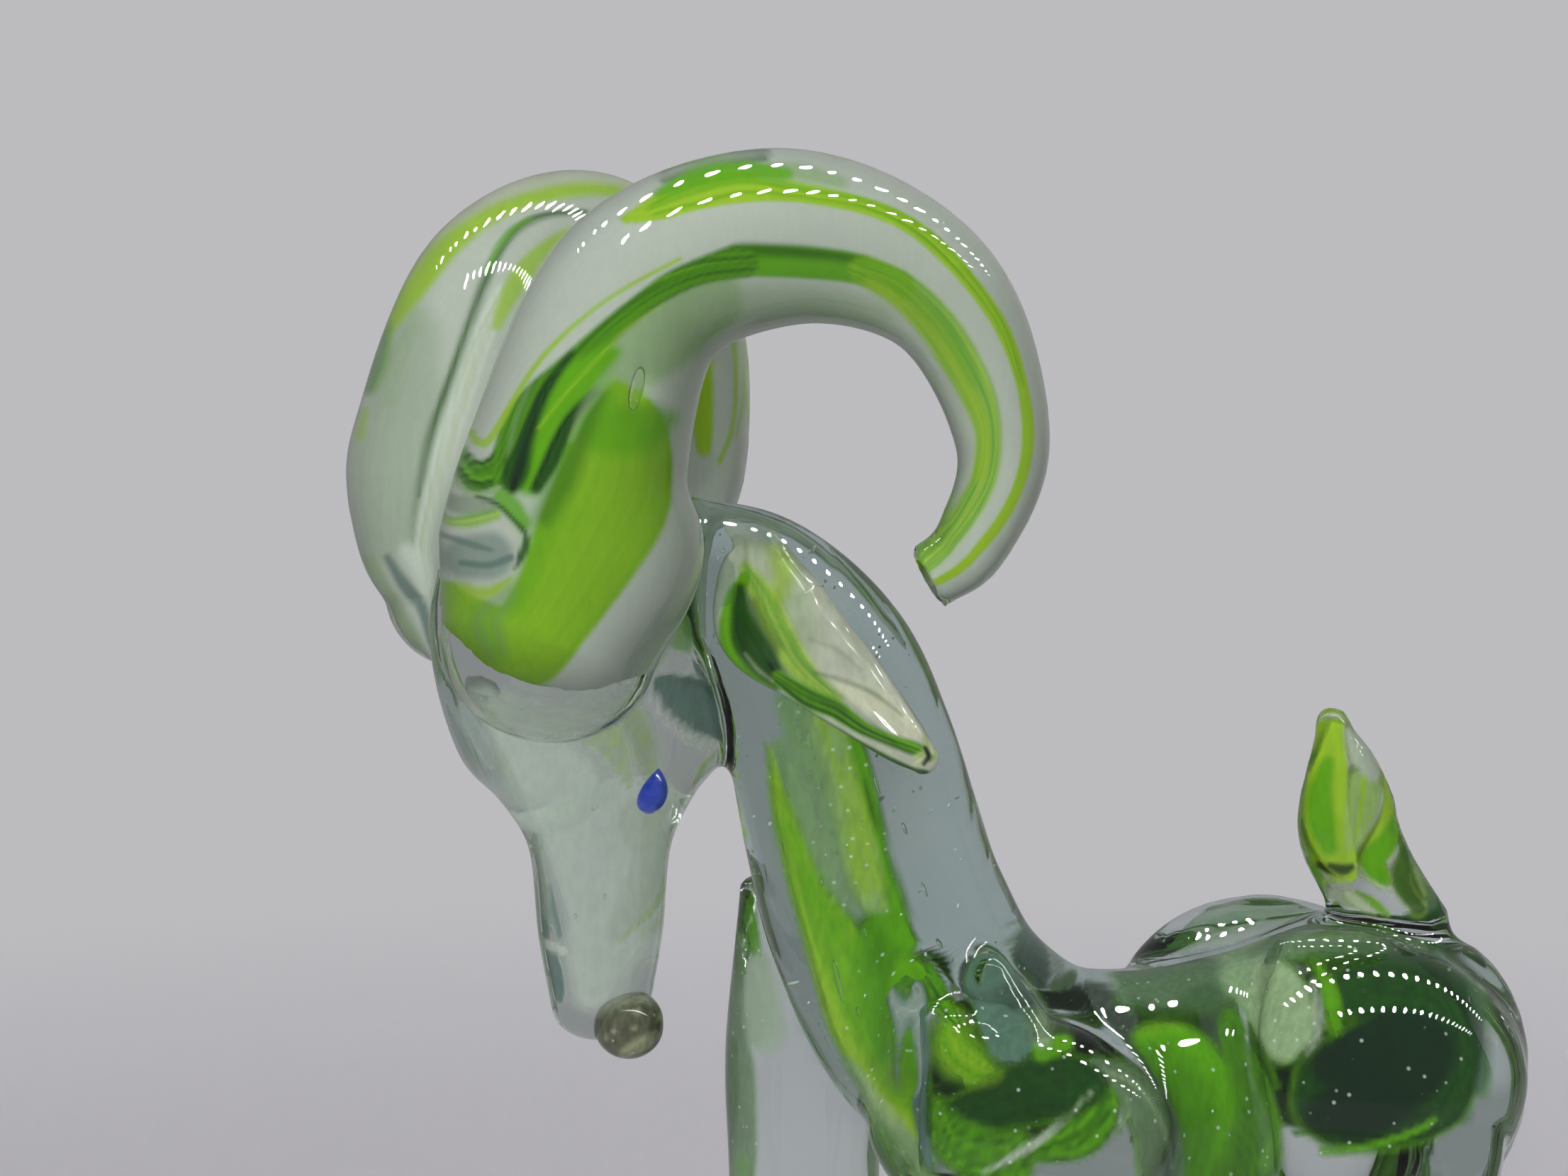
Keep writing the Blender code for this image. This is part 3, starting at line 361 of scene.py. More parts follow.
HEAD_STROKES = (
    ("milk", 16, (
        (735, 1030, 44), (775, 1090, 56), (815, 1150, 62), (850, 1220, 70), (862, 1290, 64), (842, 1350, 44),
        (838, 1395, 32),
    ), 0.5),
    ("milk", 5, ((875, 1150, 56), (895, 1200, 48), (890, 1250, 46), (868, 1300, 40), (842, 1345, 26)), 0.5),
    ("mint", 8, ((905, 1160, 34), (915, 1210, 24), (900, 1262, 22), (874, 1310, 16)), 0.35),
    ("lime", 2, ((946, 1176, 2), (941, 1229, 3), (926, 1275, 4), (900, 1302, 3), (872, 1330, 2)), 0.7),
    ("mint lime", 4, ((832, 1035, 15), (856, 1040, 24), (874, 1072, 17), (888, 1106, 5)), 0.7),
    ("mint", 8, ((700, 985, 16), (770, 1000, 18), (840, 990, 16), (880, 960, 12)), 0.6),
    ("grass", 5, ((918, 945, 9), (932, 920, 15), (950, 893, 12)), 0.8),
    ("grass", 4, ((895, 956, 4), (872, 971, 3)), 0.5),
    ("bottle", 3, ((900, 910, 3), (932, 870, 3), (968, 838, 4)), 0.6),
    ("slate", 4, ((940, 968, 18), (965, 985, 32), (1000, 1005, 36), (1028, 1028, 22)), 0.95),
    ("bottle", 3, ((965, 960, 6), (1000, 970, 8), (1025, 1000, 8)), 0.35),
    ("opal", 2, ((916, 983, 3), (948, 1022, 5), (988, 1050, 5), (1012, 1062, 3)), 0.9),
    ("lime", 3, ((1004, 1066, 3), (990, 1082, 5), (982, 1103, 3), (974, 1132, 2)), 0.8),
    ("sage", 3, ((754, 1180, 5), (760, 1230, 10), (766, 1275, 12), (772, 1300, 8)), 0.8),
    ("slate", 3, ((762, 1298, 6), (766, 1312, 10), (768, 1322, 8)), 0.95),
    ("slate", 3, ((778, 1250, 3), (784, 1290, 6), (790, 1320, 6)), 0.85),
    ("slate", 4, ((774, 1345, 12), (780, 1370, 14), (787, 1395, 10), (790, 1412, 5)), 0.95),
    ("opal", 3, ((772, 1332, 7), (794, 1340, 7)), 0.9),
    ("slate", 5, ((652, 1000, 7), (672, 1040, 9), (694, 1078, 7)), 0.6),
)
BODY_STROKES = (
    ("mint", 10, (
        (1104, 1050, 6), (1130, 1120, 16), (1150, 1190, 20), (1172, 1250, 20), (1196, 1305, 12),
    ), 0.75),
    ("mint", 10, (
        (1128, 990, 26), (1140, 1040, 26), (1158, 1110, 16), (1176, 1190, 12), (1196, 1270, 10),
    ), 0.6),
    ("lime mint", 8, (
        (1172, 1020, 30), (1196, 1100, 30), (1212, 1180, 30), (1228, 1250, 26), (1240, 1290, 18),
    ), 0.95),
    ("lime", 14, ((1200, 1080, 18), (1215, 1160, 20), (1228, 1240, 22)), 0.6),
    ("grass", 4, (
        (1204, 1040, 10), (1222, 1110, 9), (1238, 1170, 8), (1247, 1210, 7), (1262, 1270, 10),
        (1280, 1335, 12),
    )),
    ("bottle", 2, ((1216, 1100, 2), (1230, 1140, 4), (1242, 1175, 3)), 0.7),
    ("lime", 5, (
        (1088, 1050, 1), (1103, 1120, 9), (1121, 1190, 15), (1140, 1250, 21), (1165, 1310, 28),
        (1190, 1370, 36), (1216, 1430, 44), (1243, 1490, 42), (1268, 1545, 35), (1297, 1592, 20),
    )),
    ("grass lime", 7, (
        (1093, 1075, 1), (1110, 1130, 7), (1130, 1195, 12), (1150, 1255, 17), (1182, 1320, 32),
        (1210, 1370, 38), (1237, 1430, 42), (1264, 1490, 38), (1287, 1550, 24),
    )),
    ("grass", 14, (
        (1108, 1160, 10), (1140, 1250, 18), (1182, 1320, 30), (1210, 1375, 40), (1240, 1430, 46),
        (1266, 1490, 42), (1290, 1550, 28),
    ), 0.6),
    ("grass", 8, ((1245, 1320, 34), (1252, 1390, 44), (1262, 1460, 38))),
    ("bottle", 24, ((1232, 1350, 22), (1250, 1430, 30), (1270, 1510, 26)), 0.25),
    ("bottle", 16, ((1226, 1305, 19), (1258, 1355, 19)), 0.35),
    ("mint", 5, ((1201, 1499, 6), (1245, 1562, 9), (1292, 1622, 12), (1318, 1661, 10)), 0.8),
)
# The near flank: barrel, shoulder and haunch together, so that one flows into the next
FLANK_STROKES = (
    ("sage", 14, ((1590, 1400, 18), (1640, 1395, 30), (1700, 1385, 38), (1750, 1365, 30)), 0.9),
    ("bottle", 12, ((1600, 1415, 10), (1640, 1425, 10), (1700, 1405, 24)), 0.5),
    ("bottle grass", 8, (
        (1735, 1440, 18), (1750, 1500, 30), (1765, 1560, 38), (1755, 1640, 54), (1740, 1740, 40),
    ), 0.9),
    ("grass", 10, (
        (1620, 1465, 24), (1660, 1490, 46), (1688, 1540, 52), (1690, 1600, 46), (1680, 1660, 34),
        (1670, 1760, 28),
    )),
    ("bottle", 22, ((1640, 1500, 34), (1672, 1560, 40), (1672, 1640, 36)), 0.4),
    ("lime", 10, ((1610, 1452, 8), (1640, 1442, 8), (1670, 1448, 6)), 0.35),
    ("grass", 5, ((1792, 1550, 6), (1800, 1595, 8), (1786, 1640, 14)), 0.8),
    ("sage", 6, (
        (1545, 1498, 10), (1590, 1525, 24), (1622, 1572, 30), (1638, 1640, 34), (1640, 1740, 30),
    ), 0.9),
    ("mint", 2, ((1560, 1510, 2), (1602, 1530, 3), (1636, 1580, 3), (1654, 1650, 3)), 0.8),
    ("grass bottle", 7, ((1470, 1622, 18), (1525, 1602, 30), (1558, 1566, 22), (1560, 1540, 12))),
    ("bottle pitch", 9, (
        (1350, 1575, 26), (1400, 1560, 38), (1450, 1540, 46), (1500, 1530, 46), (1538, 1532, 26),
    )),
    ("grass bottle", 9, (
        (1325, 1560, 10), (1342, 1602, 28), (1390, 1625, 34), (1440, 1618, 20), (1400, 1700, 40),
        (1370, 1800, 26), (1360, 2042, 12),
    )),
    ("grass", 6, ((1470, 1480, 16), (1500, 1470, 14)), 0.9),
    # Painted highlight: a thin opal line, run on in mint, along the bottom of the shoulder stands in for a
    # bright highlight streak
    ("opal", 3, ((1390, 1652, 2), (1430, 1630, 5), (1465, 1608, 6), (1500, 1580, 3)), 0.8),
    ("mint", 2, ((1492, 1588, 2), (1520, 1560, 3), (1545, 1535, 2)), 0.6),
    ("mint", 2, ((1592, 1550, 2), (1590, 1575, 3), (1572, 1605, 2)), 0.7),
    ("lime grass", 14, ((1342, 1430, 10), (1346, 1476, 26), (1370, 1500, 28), (1398, 1512, 12)), 0.8),
    ("grass bottle", 5, ((1285, 1362, 12), (1305, 1390, 17), (1330, 1418, 14), (1346, 1440, 8))),
    ("slate", 5, ((1393, 1352, 8), (1400, 1390, 24), (1412, 1430, 36), (1424, 1466, 34)), 0.9),
    ("opal", 8, ((1446, 1385, 6), (1466, 1428, 14), (1470, 1465, 12)), 0.55),
    ("slate", 4, (
        (1258, 1375, 5), (1272, 1405, 13), (1290, 1440, 17), (1297, 1490, 17), (1296, 1540, 13),
        (1302, 1590, 9), (1312, 1645, 6),
    )),
    ("opal", 5, ((1262, 1385, 3), (1276, 1412, 8), (1290, 1450, 9), (1294, 1500, 8), (1292, 1545, 5)), 0.45),
    ("bottle", 3, ((1313, 1500, 2), (1309, 1560, 4), (1311, 1600, 4)), 0.8),
    ("sage", 10, ((1780, 1335, 22), (1850, 1322, 24), (1930, 1325, 24), (2000, 1340, 18)), 0.9),
    ("bottle", 12, ((1850, 1350, 10), (1910, 1342, 16), (1980, 1350, 18), (2030, 1368, 14)), 0.5),
    ("slate", 9, ((2030, 1345, 12), (2068, 1400, 16), (2085, 1460, 15), (2086, 1530, 13)), 0.8),
    ("bottle pitch", 9, (
        (1890, 1400, 32), (1960, 1392, 48), (2030, 1410, 44), (2052, 1480, 38), (2030, 1550, 42),
        (1960, 1575, 46), (1890, 1590, 32), (1850, 1565, 26), (1860, 1520, 32),
    )),
    ("pitch", 12, ((1890, 1500, 40), (1960, 1496, 72), (1998, 1486, 52), (1930, 1552, 52), (1868, 1570, 28))),
    ("grass", 5, ((1862, 1365, 9), (1878, 1405, 13), (1884, 1450, 10)), 0.8),
    ("mint", 8, ((1742, 1372, 24), (1785, 1392, 46), (1812, 1438, 46), (1812, 1478, 24))),
    ("mint", 12, ((1800, 1400, 30), (1820, 1440, 30)), 0.5),
    ("opal", 4, ((1850, 1382, 4), (1859, 1418, 6), (1861, 1455, 6), (1846, 1484, 4)), 0.7),
    ("grass", 4, ((1866, 1624, 4), (1920, 1620, 5), (1962, 1609, 5), (2000, 1593, 5), (2022, 1578, 4)), 0.9),
    ("grass", 16, ((1890, 1740, 36), (1922, 1820, 30), (1938, 1980, 16)), 0.5),
    ("clear", 3, ((1756, 1462, 2), (1786, 1500, 4), (1806, 1545, 5), (1822, 1600, 6), (1835, 1640, 10)), 0.9),
    ("bottle", 2, ((1762, 1466, 2), (1788, 1496, 3), (1805, 1535, 3)), 0.8),
)
RIGHT_SHOULDER_STROKES = (
    ("sage", 6, (
        (1046, 1230, 5), (1040, 1290, 13), (1034, 1350, 15), (1036, 1420, 15), (1042, 1500, 20),
        (1046, 1600, 22), (1040, 1700, 22), (1045, 1900, 18),
    ), 0.85),
    ("bottle grass", 5, ((1050, 1235, 4), (1052, 1275, 12), (1058, 1315, 14), (1066, 1345, 8)), 0.85),
    ("grass", 6, ((1030, 1290, 5), (1026, 1350, 8), (1030, 1400, 6)), 0.7),
    ("milk", 12, ((1070, 1360, 14), (1072, 1400, 24), (1080, 1460, 26)), 0.4),
    ("grass", 10, ((1045, 1640, 12), (1058, 1855, 14), (1061, 2074, 9)), 0.5),
)
RIGHT_HAUNCH_STROKES = (
    ("slate", 16, ((1680, 1330, 26), (1740, 1305, 26), (1820, 1295, 26), (1880, 1300, 22)), 0.35),
    ("opal", 6, ((1660, 1350, 3), (1720, 1328, 4), (1800, 1314, 4)), 0.35),
    ("grass", 13, ((1650, 1580, 48), (1682, 1676, 48), (1698, 1900, 24)), 0.7),
)
EAR_STROKES = (
    ("mint", 14, ((1060, 760, 20), (1100, 790, 30), (1120, 850, 26), (1140, 900, 16)), 0.5),
    ("lime", 12, ((1088, 752, 12), (1106, 800, 16), (1100, 840, 12)), 0.7),
    ("sage", 6, ((1044, 728, 4), (1062, 742, 8), (1085, 758, 9)), 0.8),
    ("cream", 8, ((1190, 970, 14), (1240, 990, 20), (1285, 1030, 16))),
    ("lime grass", 8, (
        (1052, 800, 8), (1078, 845, 20), (1098, 890, 22), (1124, 935, 20), (1154, 966, 13), (1182, 985, 7),
    ), 0.9),
    ("grass", 5, (
        (1050, 815, 9), (1036, 850, 15), (1028, 895, 14), (1036, 932, 13), (1065, 955, 10), (1092, 968, 7),
    )),
    ("bottle pitch", 6, ((1044, 830, 7), (1046, 868, 15), (1056, 902, 23), (1078, 934, 21), (1100, 960, 12))),
    ("bottle", 10, ((1056, 860, 18), (1080, 910, 22)), 0.6),
    ("grass bottle", 4, (
        (1098, 955, 10), (1140, 984, 15), (1180, 1002, 14), (1215, 1026, 11), (1250, 1042, 9),
        (1290, 1056, 10), (1312, 1066, 8),
    )),
    ("mint", 3, ((1052, 922, 2), (1070, 944, 3), (1090, 960, 2)), 0.5),
    ("bottle", 3, (
        (1096, 985, 7), (1115, 998, 9), (1160, 1026, 10), (1205, 1052, 10), (1240, 1072, 12),
        (1282, 1092, 12), (1306, 1092, 6),
    ), 0.95),
    ("mint", 2, ((1118, 992, 2), (1165, 1018, 2), (1215, 1044, 2), (1260, 1066, 2)), 0.5),
    ("cream lime", 5, ((1296, 1072, 8), (1312, 1060, 9), (1310, 1040, 8)), 0.8),
    ("pitch", 2, ((1306, 1055, 3), (1311, 1067, 4), (1304, 1078, 3))),
    ("sage", 3, ((1150, 948, 2), (1195, 962, 4), (1235, 980, 3), (1272, 1008, 2)), 0.6),
    ("sage", 3, ((1140, 900, 2), (1180, 915, 3), (1215, 945, 3)), 0.3),
    ("slate", 3, (
        (1150, 800, 2), (1190, 862, 3), (1228, 912, 3), (1262, 960, 3), (1292, 1008, 3), (1318, 1046, 3),
    ), 0.8),
    ("clear", 18, ((1030, 725, 30), (1065, 742, 24), (1120, 770, 14), (1148, 800, 8)), 0.75),
)
TAIL_STROKES = (
    ("lime", 4, (
        (1888, 1010, 8), (1880, 1060, 20), (1872, 1110, 30), (1873, 1160, 33), (1888, 1205, 25),
        (1905, 1235, 10),
    )),
    ("grass", 7, ((1872, 1075, 9), (1862, 1120, 17), (1864, 1160, 19), (1874, 1195, 12))),
    ("lime mint", 8, ((1925, 1105, 24), (1918, 1150, 22), (1908, 1190, 12)), 0.85),
    ("opal", 7, ((1904, 1030, 8), (1922, 1062, 20), (1938, 1090, 12)), 0.9),
    ("lime", 5, ((1954, 1080, 6), (1964, 1125, 13), (1956, 1165, 14), (1938, 1200, 14))),
    ("grass", 6, ((1972, 1150, 6), (1956, 1190, 16), (1936, 1215, 18), (1950, 1240, 14))),
    ("bottle", 6, ((1985, 1165, 5), (1984, 1208, 12), (1978, 1245, 14), (2000, 1280, 12)), 0.9),
    ("mint", 3, ((1990, 1195, 4), (1998, 1225, 5), (2010, 1260, 4)), 0.6),
    ("pitch", 4, ((1876, 1222, 5), (1894, 1228, 8), (1906, 1224, 5)), 0.9),
    ("lime", 4, ((1885, 1244, 4), (1902, 1242, 7)), 0.7),
    ("cream", 2, ((1914, 1220, 2), (1934, 1244, 3), (1965, 1256, 3)), 0.6),
    ("opal", 4, ((1900, 1262, 6), (1920, 1275, 9), (1940, 1285, 5)), 0.7),
    ("grass", 3, ((1930, 1266, 3), (1944, 1279, 6), (1958, 1288, 4)), 0.9),
    ("clear", 5, ((1858, 988, 16), (1878, 996, 18), (1900, 1006, 12))),
)
# Cream specks and painted highlights in the nose bead: the cream dots are specks in the glass and painted
# glints at once, the cream patch low down is painted light coming through the bead, and the milky line along
# the top is a painted highlight
NOSE_SPECKS_AND_HIGHLIGHTS = (
    ("cream", 4, ((878, 1484, 5), (895, 1476, 9), (912, 1466, 8), (922, 1456, 4)), 0.9),
    ("cream", 3, ((893, 1450, 4),), 0.9),
    ("cream", 3, ((857, 1462, 4),), 0.8),
    ("milk", 3, ((866, 1455, 3),), 0.7),
    ("cream", 3, ((926, 1436, 4),), 0.8),
    ("milk", 3, ((898, 1430, 5),), 0.6),
    ("milk", 6, ((846, 1428, 5), (870, 1414, 8), (900, 1408, 7), (922, 1412, 5)), 0.6),
)
# Bubbles: across, down, y, half width and half length in pixels, lean in degrees
BUBBLES = (
    (896, 548, -18.7, 10, 32, 14), (1086, 1230, -3.4, 3, 15, -8), (1189, 1380, -5.5, 4, 32, -14),
    (1217, 1421, -5.5, 3, 7, -10), (1351, 1546, -6.0, 4, 6, 0), (1373, 1561, -6.0, 4, 7, -20),
    (1223, 1311, -5.0, 3, 9, -12), (1114, 1193, -4.0, 2, 10, -10), (1147, 1040, -4.0, 3, 12, -12),
    (1232, 1106, -4.5, 2, 13, -18), (1268, 1168, -4.5, 3, 9, -20), (1296, 1255, -4.5, 2, 11, -20),
    (1318, 1330, -5.0, 3, 8, -30), (1172, 1466, -4.4, 2, 9, -20), (1412, 1400, -9.0, 3, 5, 0),
    (1582, 1452, -6.0, 3, 6, 60), (1702, 1330, 4.0, 3, 10, 80), (1925, 1402, -9.0, 3, 5, 20),
    (1968, 1372, -8.3, 2, 5, 40), (2060, 1420, -7.0, 3, 7, 10), (1790, 1400, -6.6, 3, 4, 0),
    (852, 1262, -6.0, 2, 4, 0), (838, 1135, -8.0, 4, 5, 60), (815, 1290, -6.0, 2, 4, 0),
)


def soft_step(low, high, value):
    share = np.clip((value - low) / (high - low), 0.0, 1.0)
    return share * share * (3.0 - 2.0 * share)


def between(a, b, share):
    return a + (b - a) * share


def in_picture(points):
    """Where the main view shows each point, in pixels of its picture."""
    away = points - EYE_PLACE
    ahead = away[:, 1] * math.cos(LOOK_DOWN) - away[:, 2] * math.sin(LOOK_DOWN)
    up = away[:, 1] * math.sin(LOOK_DOWN) + away[:, 2] * math.cos(LOOK_DOWN)
    across = PICTURE[0] / 2 + FOCAL * away[:, 0] / ahead
    return np.stack([across, PICTURE[1] / 2 - FOCAL * up / ahead], axis=1)


def seen(across, down, y):
    """The place on the upright plane at y that the main view shows at a point of its picture."""
    side = (across - PICTURE[0] / 2) / FOCAL
    up = (PICTURE[1] / 2 - down) / FOCAL
    ray = np.array([
        side,
        math.cos(LOOK_DOWN) + up * math.sin(LOOK_DOWN),
        up * math.cos(LOOK_DOWN) - math.sin(LOOK_DOWN),
    ])
    return EYE_PLACE + ray * (y - EYE_PLACE[1]) / ray[1]


def wander(points, wavelength, seed):
    """Smooth noise from -1 to 1 at each point, one value per axis, the same in every run."""
    noise.seed_set(NOISE_START)  # without it the noise would follow the clock
    offset = Vector((seed * 7.31, seed * 3.77, seed * 5.19))
    return np.array([noise.noise_vector(Vector(point) / wavelength + offset) for point in points])


class Skin:
    """A closed surface drawn along a run: points, faces, and each point's place on the run.

    along is the distance from the first station, across is -1 to 1 over the half depth, and
    over is -1 to 1 over the half width.
    """

    def __init__(self, stations, side, domes=(0.0, 0.0), ahead=None, facets=64, steps=10, slant=0.0):
        run = self.smooth(np.array(stations, dtype=float), steps)
        centres = run[:, :3]
        travel = np.gradient(centres, axis=0)
        for _ in range(round(0.2 * steps * steps)):
            travel[1:-1] = (travel[:-2] + 2 * travel[1:-1] + travel[2:]) / 4
        travel /= np.linalg.norm(travel, axis=1)[:, None]
        if ahead is not None:
            travel[:] = ahead
        lengths = np.concatenate([[0.0], np.cumsum(np.linalg.norm(np.diff(centres, axis=0), axis=1))])
        rings = [(row[:3], *row[3:], *more) for row, *more in zip(run, travel, lengths)]
        self.length = lengths[-1]
        poles = [None, None]
        for end, sign in ((0, -1.0), (-1, 1.0)):
            if not domes[end]:
                continue
            centre, depth, width, direction, length = rings[end]
            extra = []
            for index in range(1, 8):
                angle = 0.5 * math.pi * index / 8
                rise = sign * domes[end] * math.sin(angle)
                half = (depth * math.cos(angle), width * math.cos(angle))
                extra.append((centre + direction * rise, *half, direction, length + rise))
            rings = rings + extra if end else extra[::-1] + rings
            poles[end] = (centre + direction * sign * domes[end], length + sign * domes[end])
        angles = np.arange(facets) * 2.0 * math.pi / facets
        points, along = [], []
        side = np.array(side, dtype=float)
        for index, (centre, depth, width, direction, length) in enumerate(rings):
            out = side - direction * side.dot(direction)
            out /= np.linalg.norm(out)
            inward = np.cross(direction, out)
            lean = slant if index == len(rings) - 1 else 0.0
            step = np.cos(angles)[:, None] * depth
            aside = np.sin(angles)[:, None] * width
            points.append(centre + inward * step + out * aside + direction * lean * step)
            along.append(np.full(facets, length))
        self.points = np.concatenate(points)
        self.along = np.concatenate(along)
        self.across = np.tile(np.cos(angles), len(rings))
        self.over = np.tile(np.sin(angles), len(rings))
        self.faces = []
        for ring in range(len(rings) - 1):
            low = ring * facets
            for facet in range(facets):
                after = (facet + 1) % facets
                self.faces.append((low + facet, low + after, low + facets + after, low + facets + facet))
        for pole, low, turn in ((poles[0], 0, -1), (poles[1], (len(rings) - 1) * facets, 1)):
            loop = [low + facet for facet in range(facets)]
            if pole is None:
                self.faces.append(tuple(loop[::turn]))
                continue
            tip = len(self.points)
            self.points = np.vstack([self.points, pole[0]])
            self.along = np.append(self.along, pole[1])
            self.across = np.append(self.across, 0.0)
            self.over = np.append(self.over, 0.0)
            for facet in range(facets):
                corner = (loop[facet], loop[(facet + 1) % facets], tip)
                self.faces.append(corner[::turn])
        quads = np.array([face for face in self.faces if len(face) == 4])
        a, b, c, d = (self.points[quads[:, i]] - self.points.mean(axis=0) for i in range(4))
        if (np.cross(c - a, d - b) * (a + c)).sum() < 0:  # the faces look inwards
            self.faces = [face[::-1] for face in self.faces]

    @staticmethod
    def smooth(rows, steps):
        """Catmull-Rom rows through the stations."""
        padded = np.vstack([2 * rows[0] - rows[1], rows, 2 * rows[-1] - rows[-2]])
        found = []
        for index in range(len(rows) - 1):
            before, a, b, after = padded[index : index + 4]
            for step in range(steps):
                t = step / steps
                found.append(0.5 * (
                    2 * a
                    + (b - before) * t
                    + (2 * before - 5 * a + 4 * b - after) * t * t
                    + (3 * a - before - 3 * b + after) * t ** 3
                ))
        found.append(rows[-1])
        return np.array(found)


def core_of(stations, walls):
    """The stations of a core that leaves a wall of clear glass at each station."""
    return [(x, y, z, depth - wall, width - wall) for (x, y, z, depth, width), wall in zip(stations, walls)]


# The melted skin, kept so that the main view can be followed through it to the cores
melted = {}


def bent(ray, out, index):
    """The way a ray goes on inside glass of this index, or None where it is turned back."""
    cosine = -ray.dot(out)
    if cosine <= 0.0:
        return None
    share = 1.0 - (1.0 - cosine * cosine) / (index * index)
    return (ray / index + out * (cosine / index - math.sqrt(share))).normalized()


def seen_through(skin, hidden=()):
    """Where the main view shows each point of a core through the clear glass that bends its light.

    A point that no ray meets takes the shift of the nearest one that some ray does. Rays that
    meet a hidden piece's glass first are passed over.
    """
    if not melted:
        raise RuntimeError("the clear glass has to be melted before the colour inside is laid")
    tree, normals, quads = melted["tree"], melted["normals"], melted["quads"]
    core = BVHTree.FromPolygons(skin.points.tolist(), skin.faces)
    flat = in_picture(skin.points)
    middle = (flat.min(axis=0) + flat.max(axis=0)) / 2
    reach = (flat.max(axis=0) - flat.min(axis=0)) * 0.75 + 30  # half its size, and half as much again
    eye = Vector(EYE_PLACE)
    met, spots = [], []
    for across in np.arange(middle[0] - reach[0], middle[0] + reach[0], RAY_STEP):
        for down in np.arange(middle[1] - reach[1], middle[1] + reach[1], RAY_STEP):
            ray = (Vector(seen(across, down, 0.0)) - eye).normalized()
            place, out, face, gap = tree.ray_cast(eye, ray)
            if place is None or melted["owner"][face] in hidden:
                continue
            out = Vector(normals[quads[face]].mean(axis=0)).normalized()
            ray = bent(ray, out, GLASS_INDEX)
            if ray is None:
                continue
            hit, out, face, gap = core.ray_cast(place, ray)
            if hit is not None:
                met.append((hit.x, hit.z))
                spots.append((across, down))
    if not met:
        return flat

    def on_middle(x, z):
        """Where the main view would show places on the upright plane through the core's middle."""
        return in_picture(np.column_stack([x, np.full(len(x), skin.points[:, 1].mean()), z]))

    spots, met = np.array(spots), np.array(met)
    straight = on_middle(met[:, 0], met[:, 1])
    finder = kdtree.KDTree(len(met))
    for index, (x, z) in enumerate(met):
        finder.insert((x, 0.0, z), index)
    finder.balance()
    level = on_middle(skin.points[:, 0], skin.points[:, 2])
    found = np.empty_like(flat)
    for index, (x, y, z) in enumerate(skin.points):
        near = finder.find_n((x, 0.0, z), 6)
        weights = np.array([1.0 / (gap + 0.15) ** 2 for _, _, gap in near])
        picks = [pick for _, pick, _ in near]
        found[index] = ((spots[picks] - straight[picks]) * weights[:, None]).sum(axis=0) / weights.sum()
    small = [face for face in skin.faces if len(face) < 5]
    edges = np.array([(face[i], face[i - 1]) for face in small for i in range(len(face))])
    return level + relax(found, edges, 24, np.ones(len(found)), 0.9, 0.0)


def spots_like(stations, others, skin):
    """The picture places that these points would have on another run of the same build."""
    a, b = np.array(stations), np.array(others)
    ahead = [(run[-1, :3] - run[0, :3]) / np.linalg.norm(run[-1, :3] - run[0, :3]) for run in (a, b)]
    share = (skin.points - a[0, :3]).dot(ahead[0]) / (a[-1, :3] - a[0, :3]).dot(ahead[0])
    half = np.interp(share, np.linspace(0, 1, len(b)), b[:, 3])
    rise = np.cross(ahead[1], (0.0, 1.0, 0.0))
    rise /= np.linalg.norm(rise)
    middle = b[0, :3] + share[:, None] * (b[-1, :3] - b[0, :3])
    return in_picture(middle - rise * (skin.across * half)[:, None])


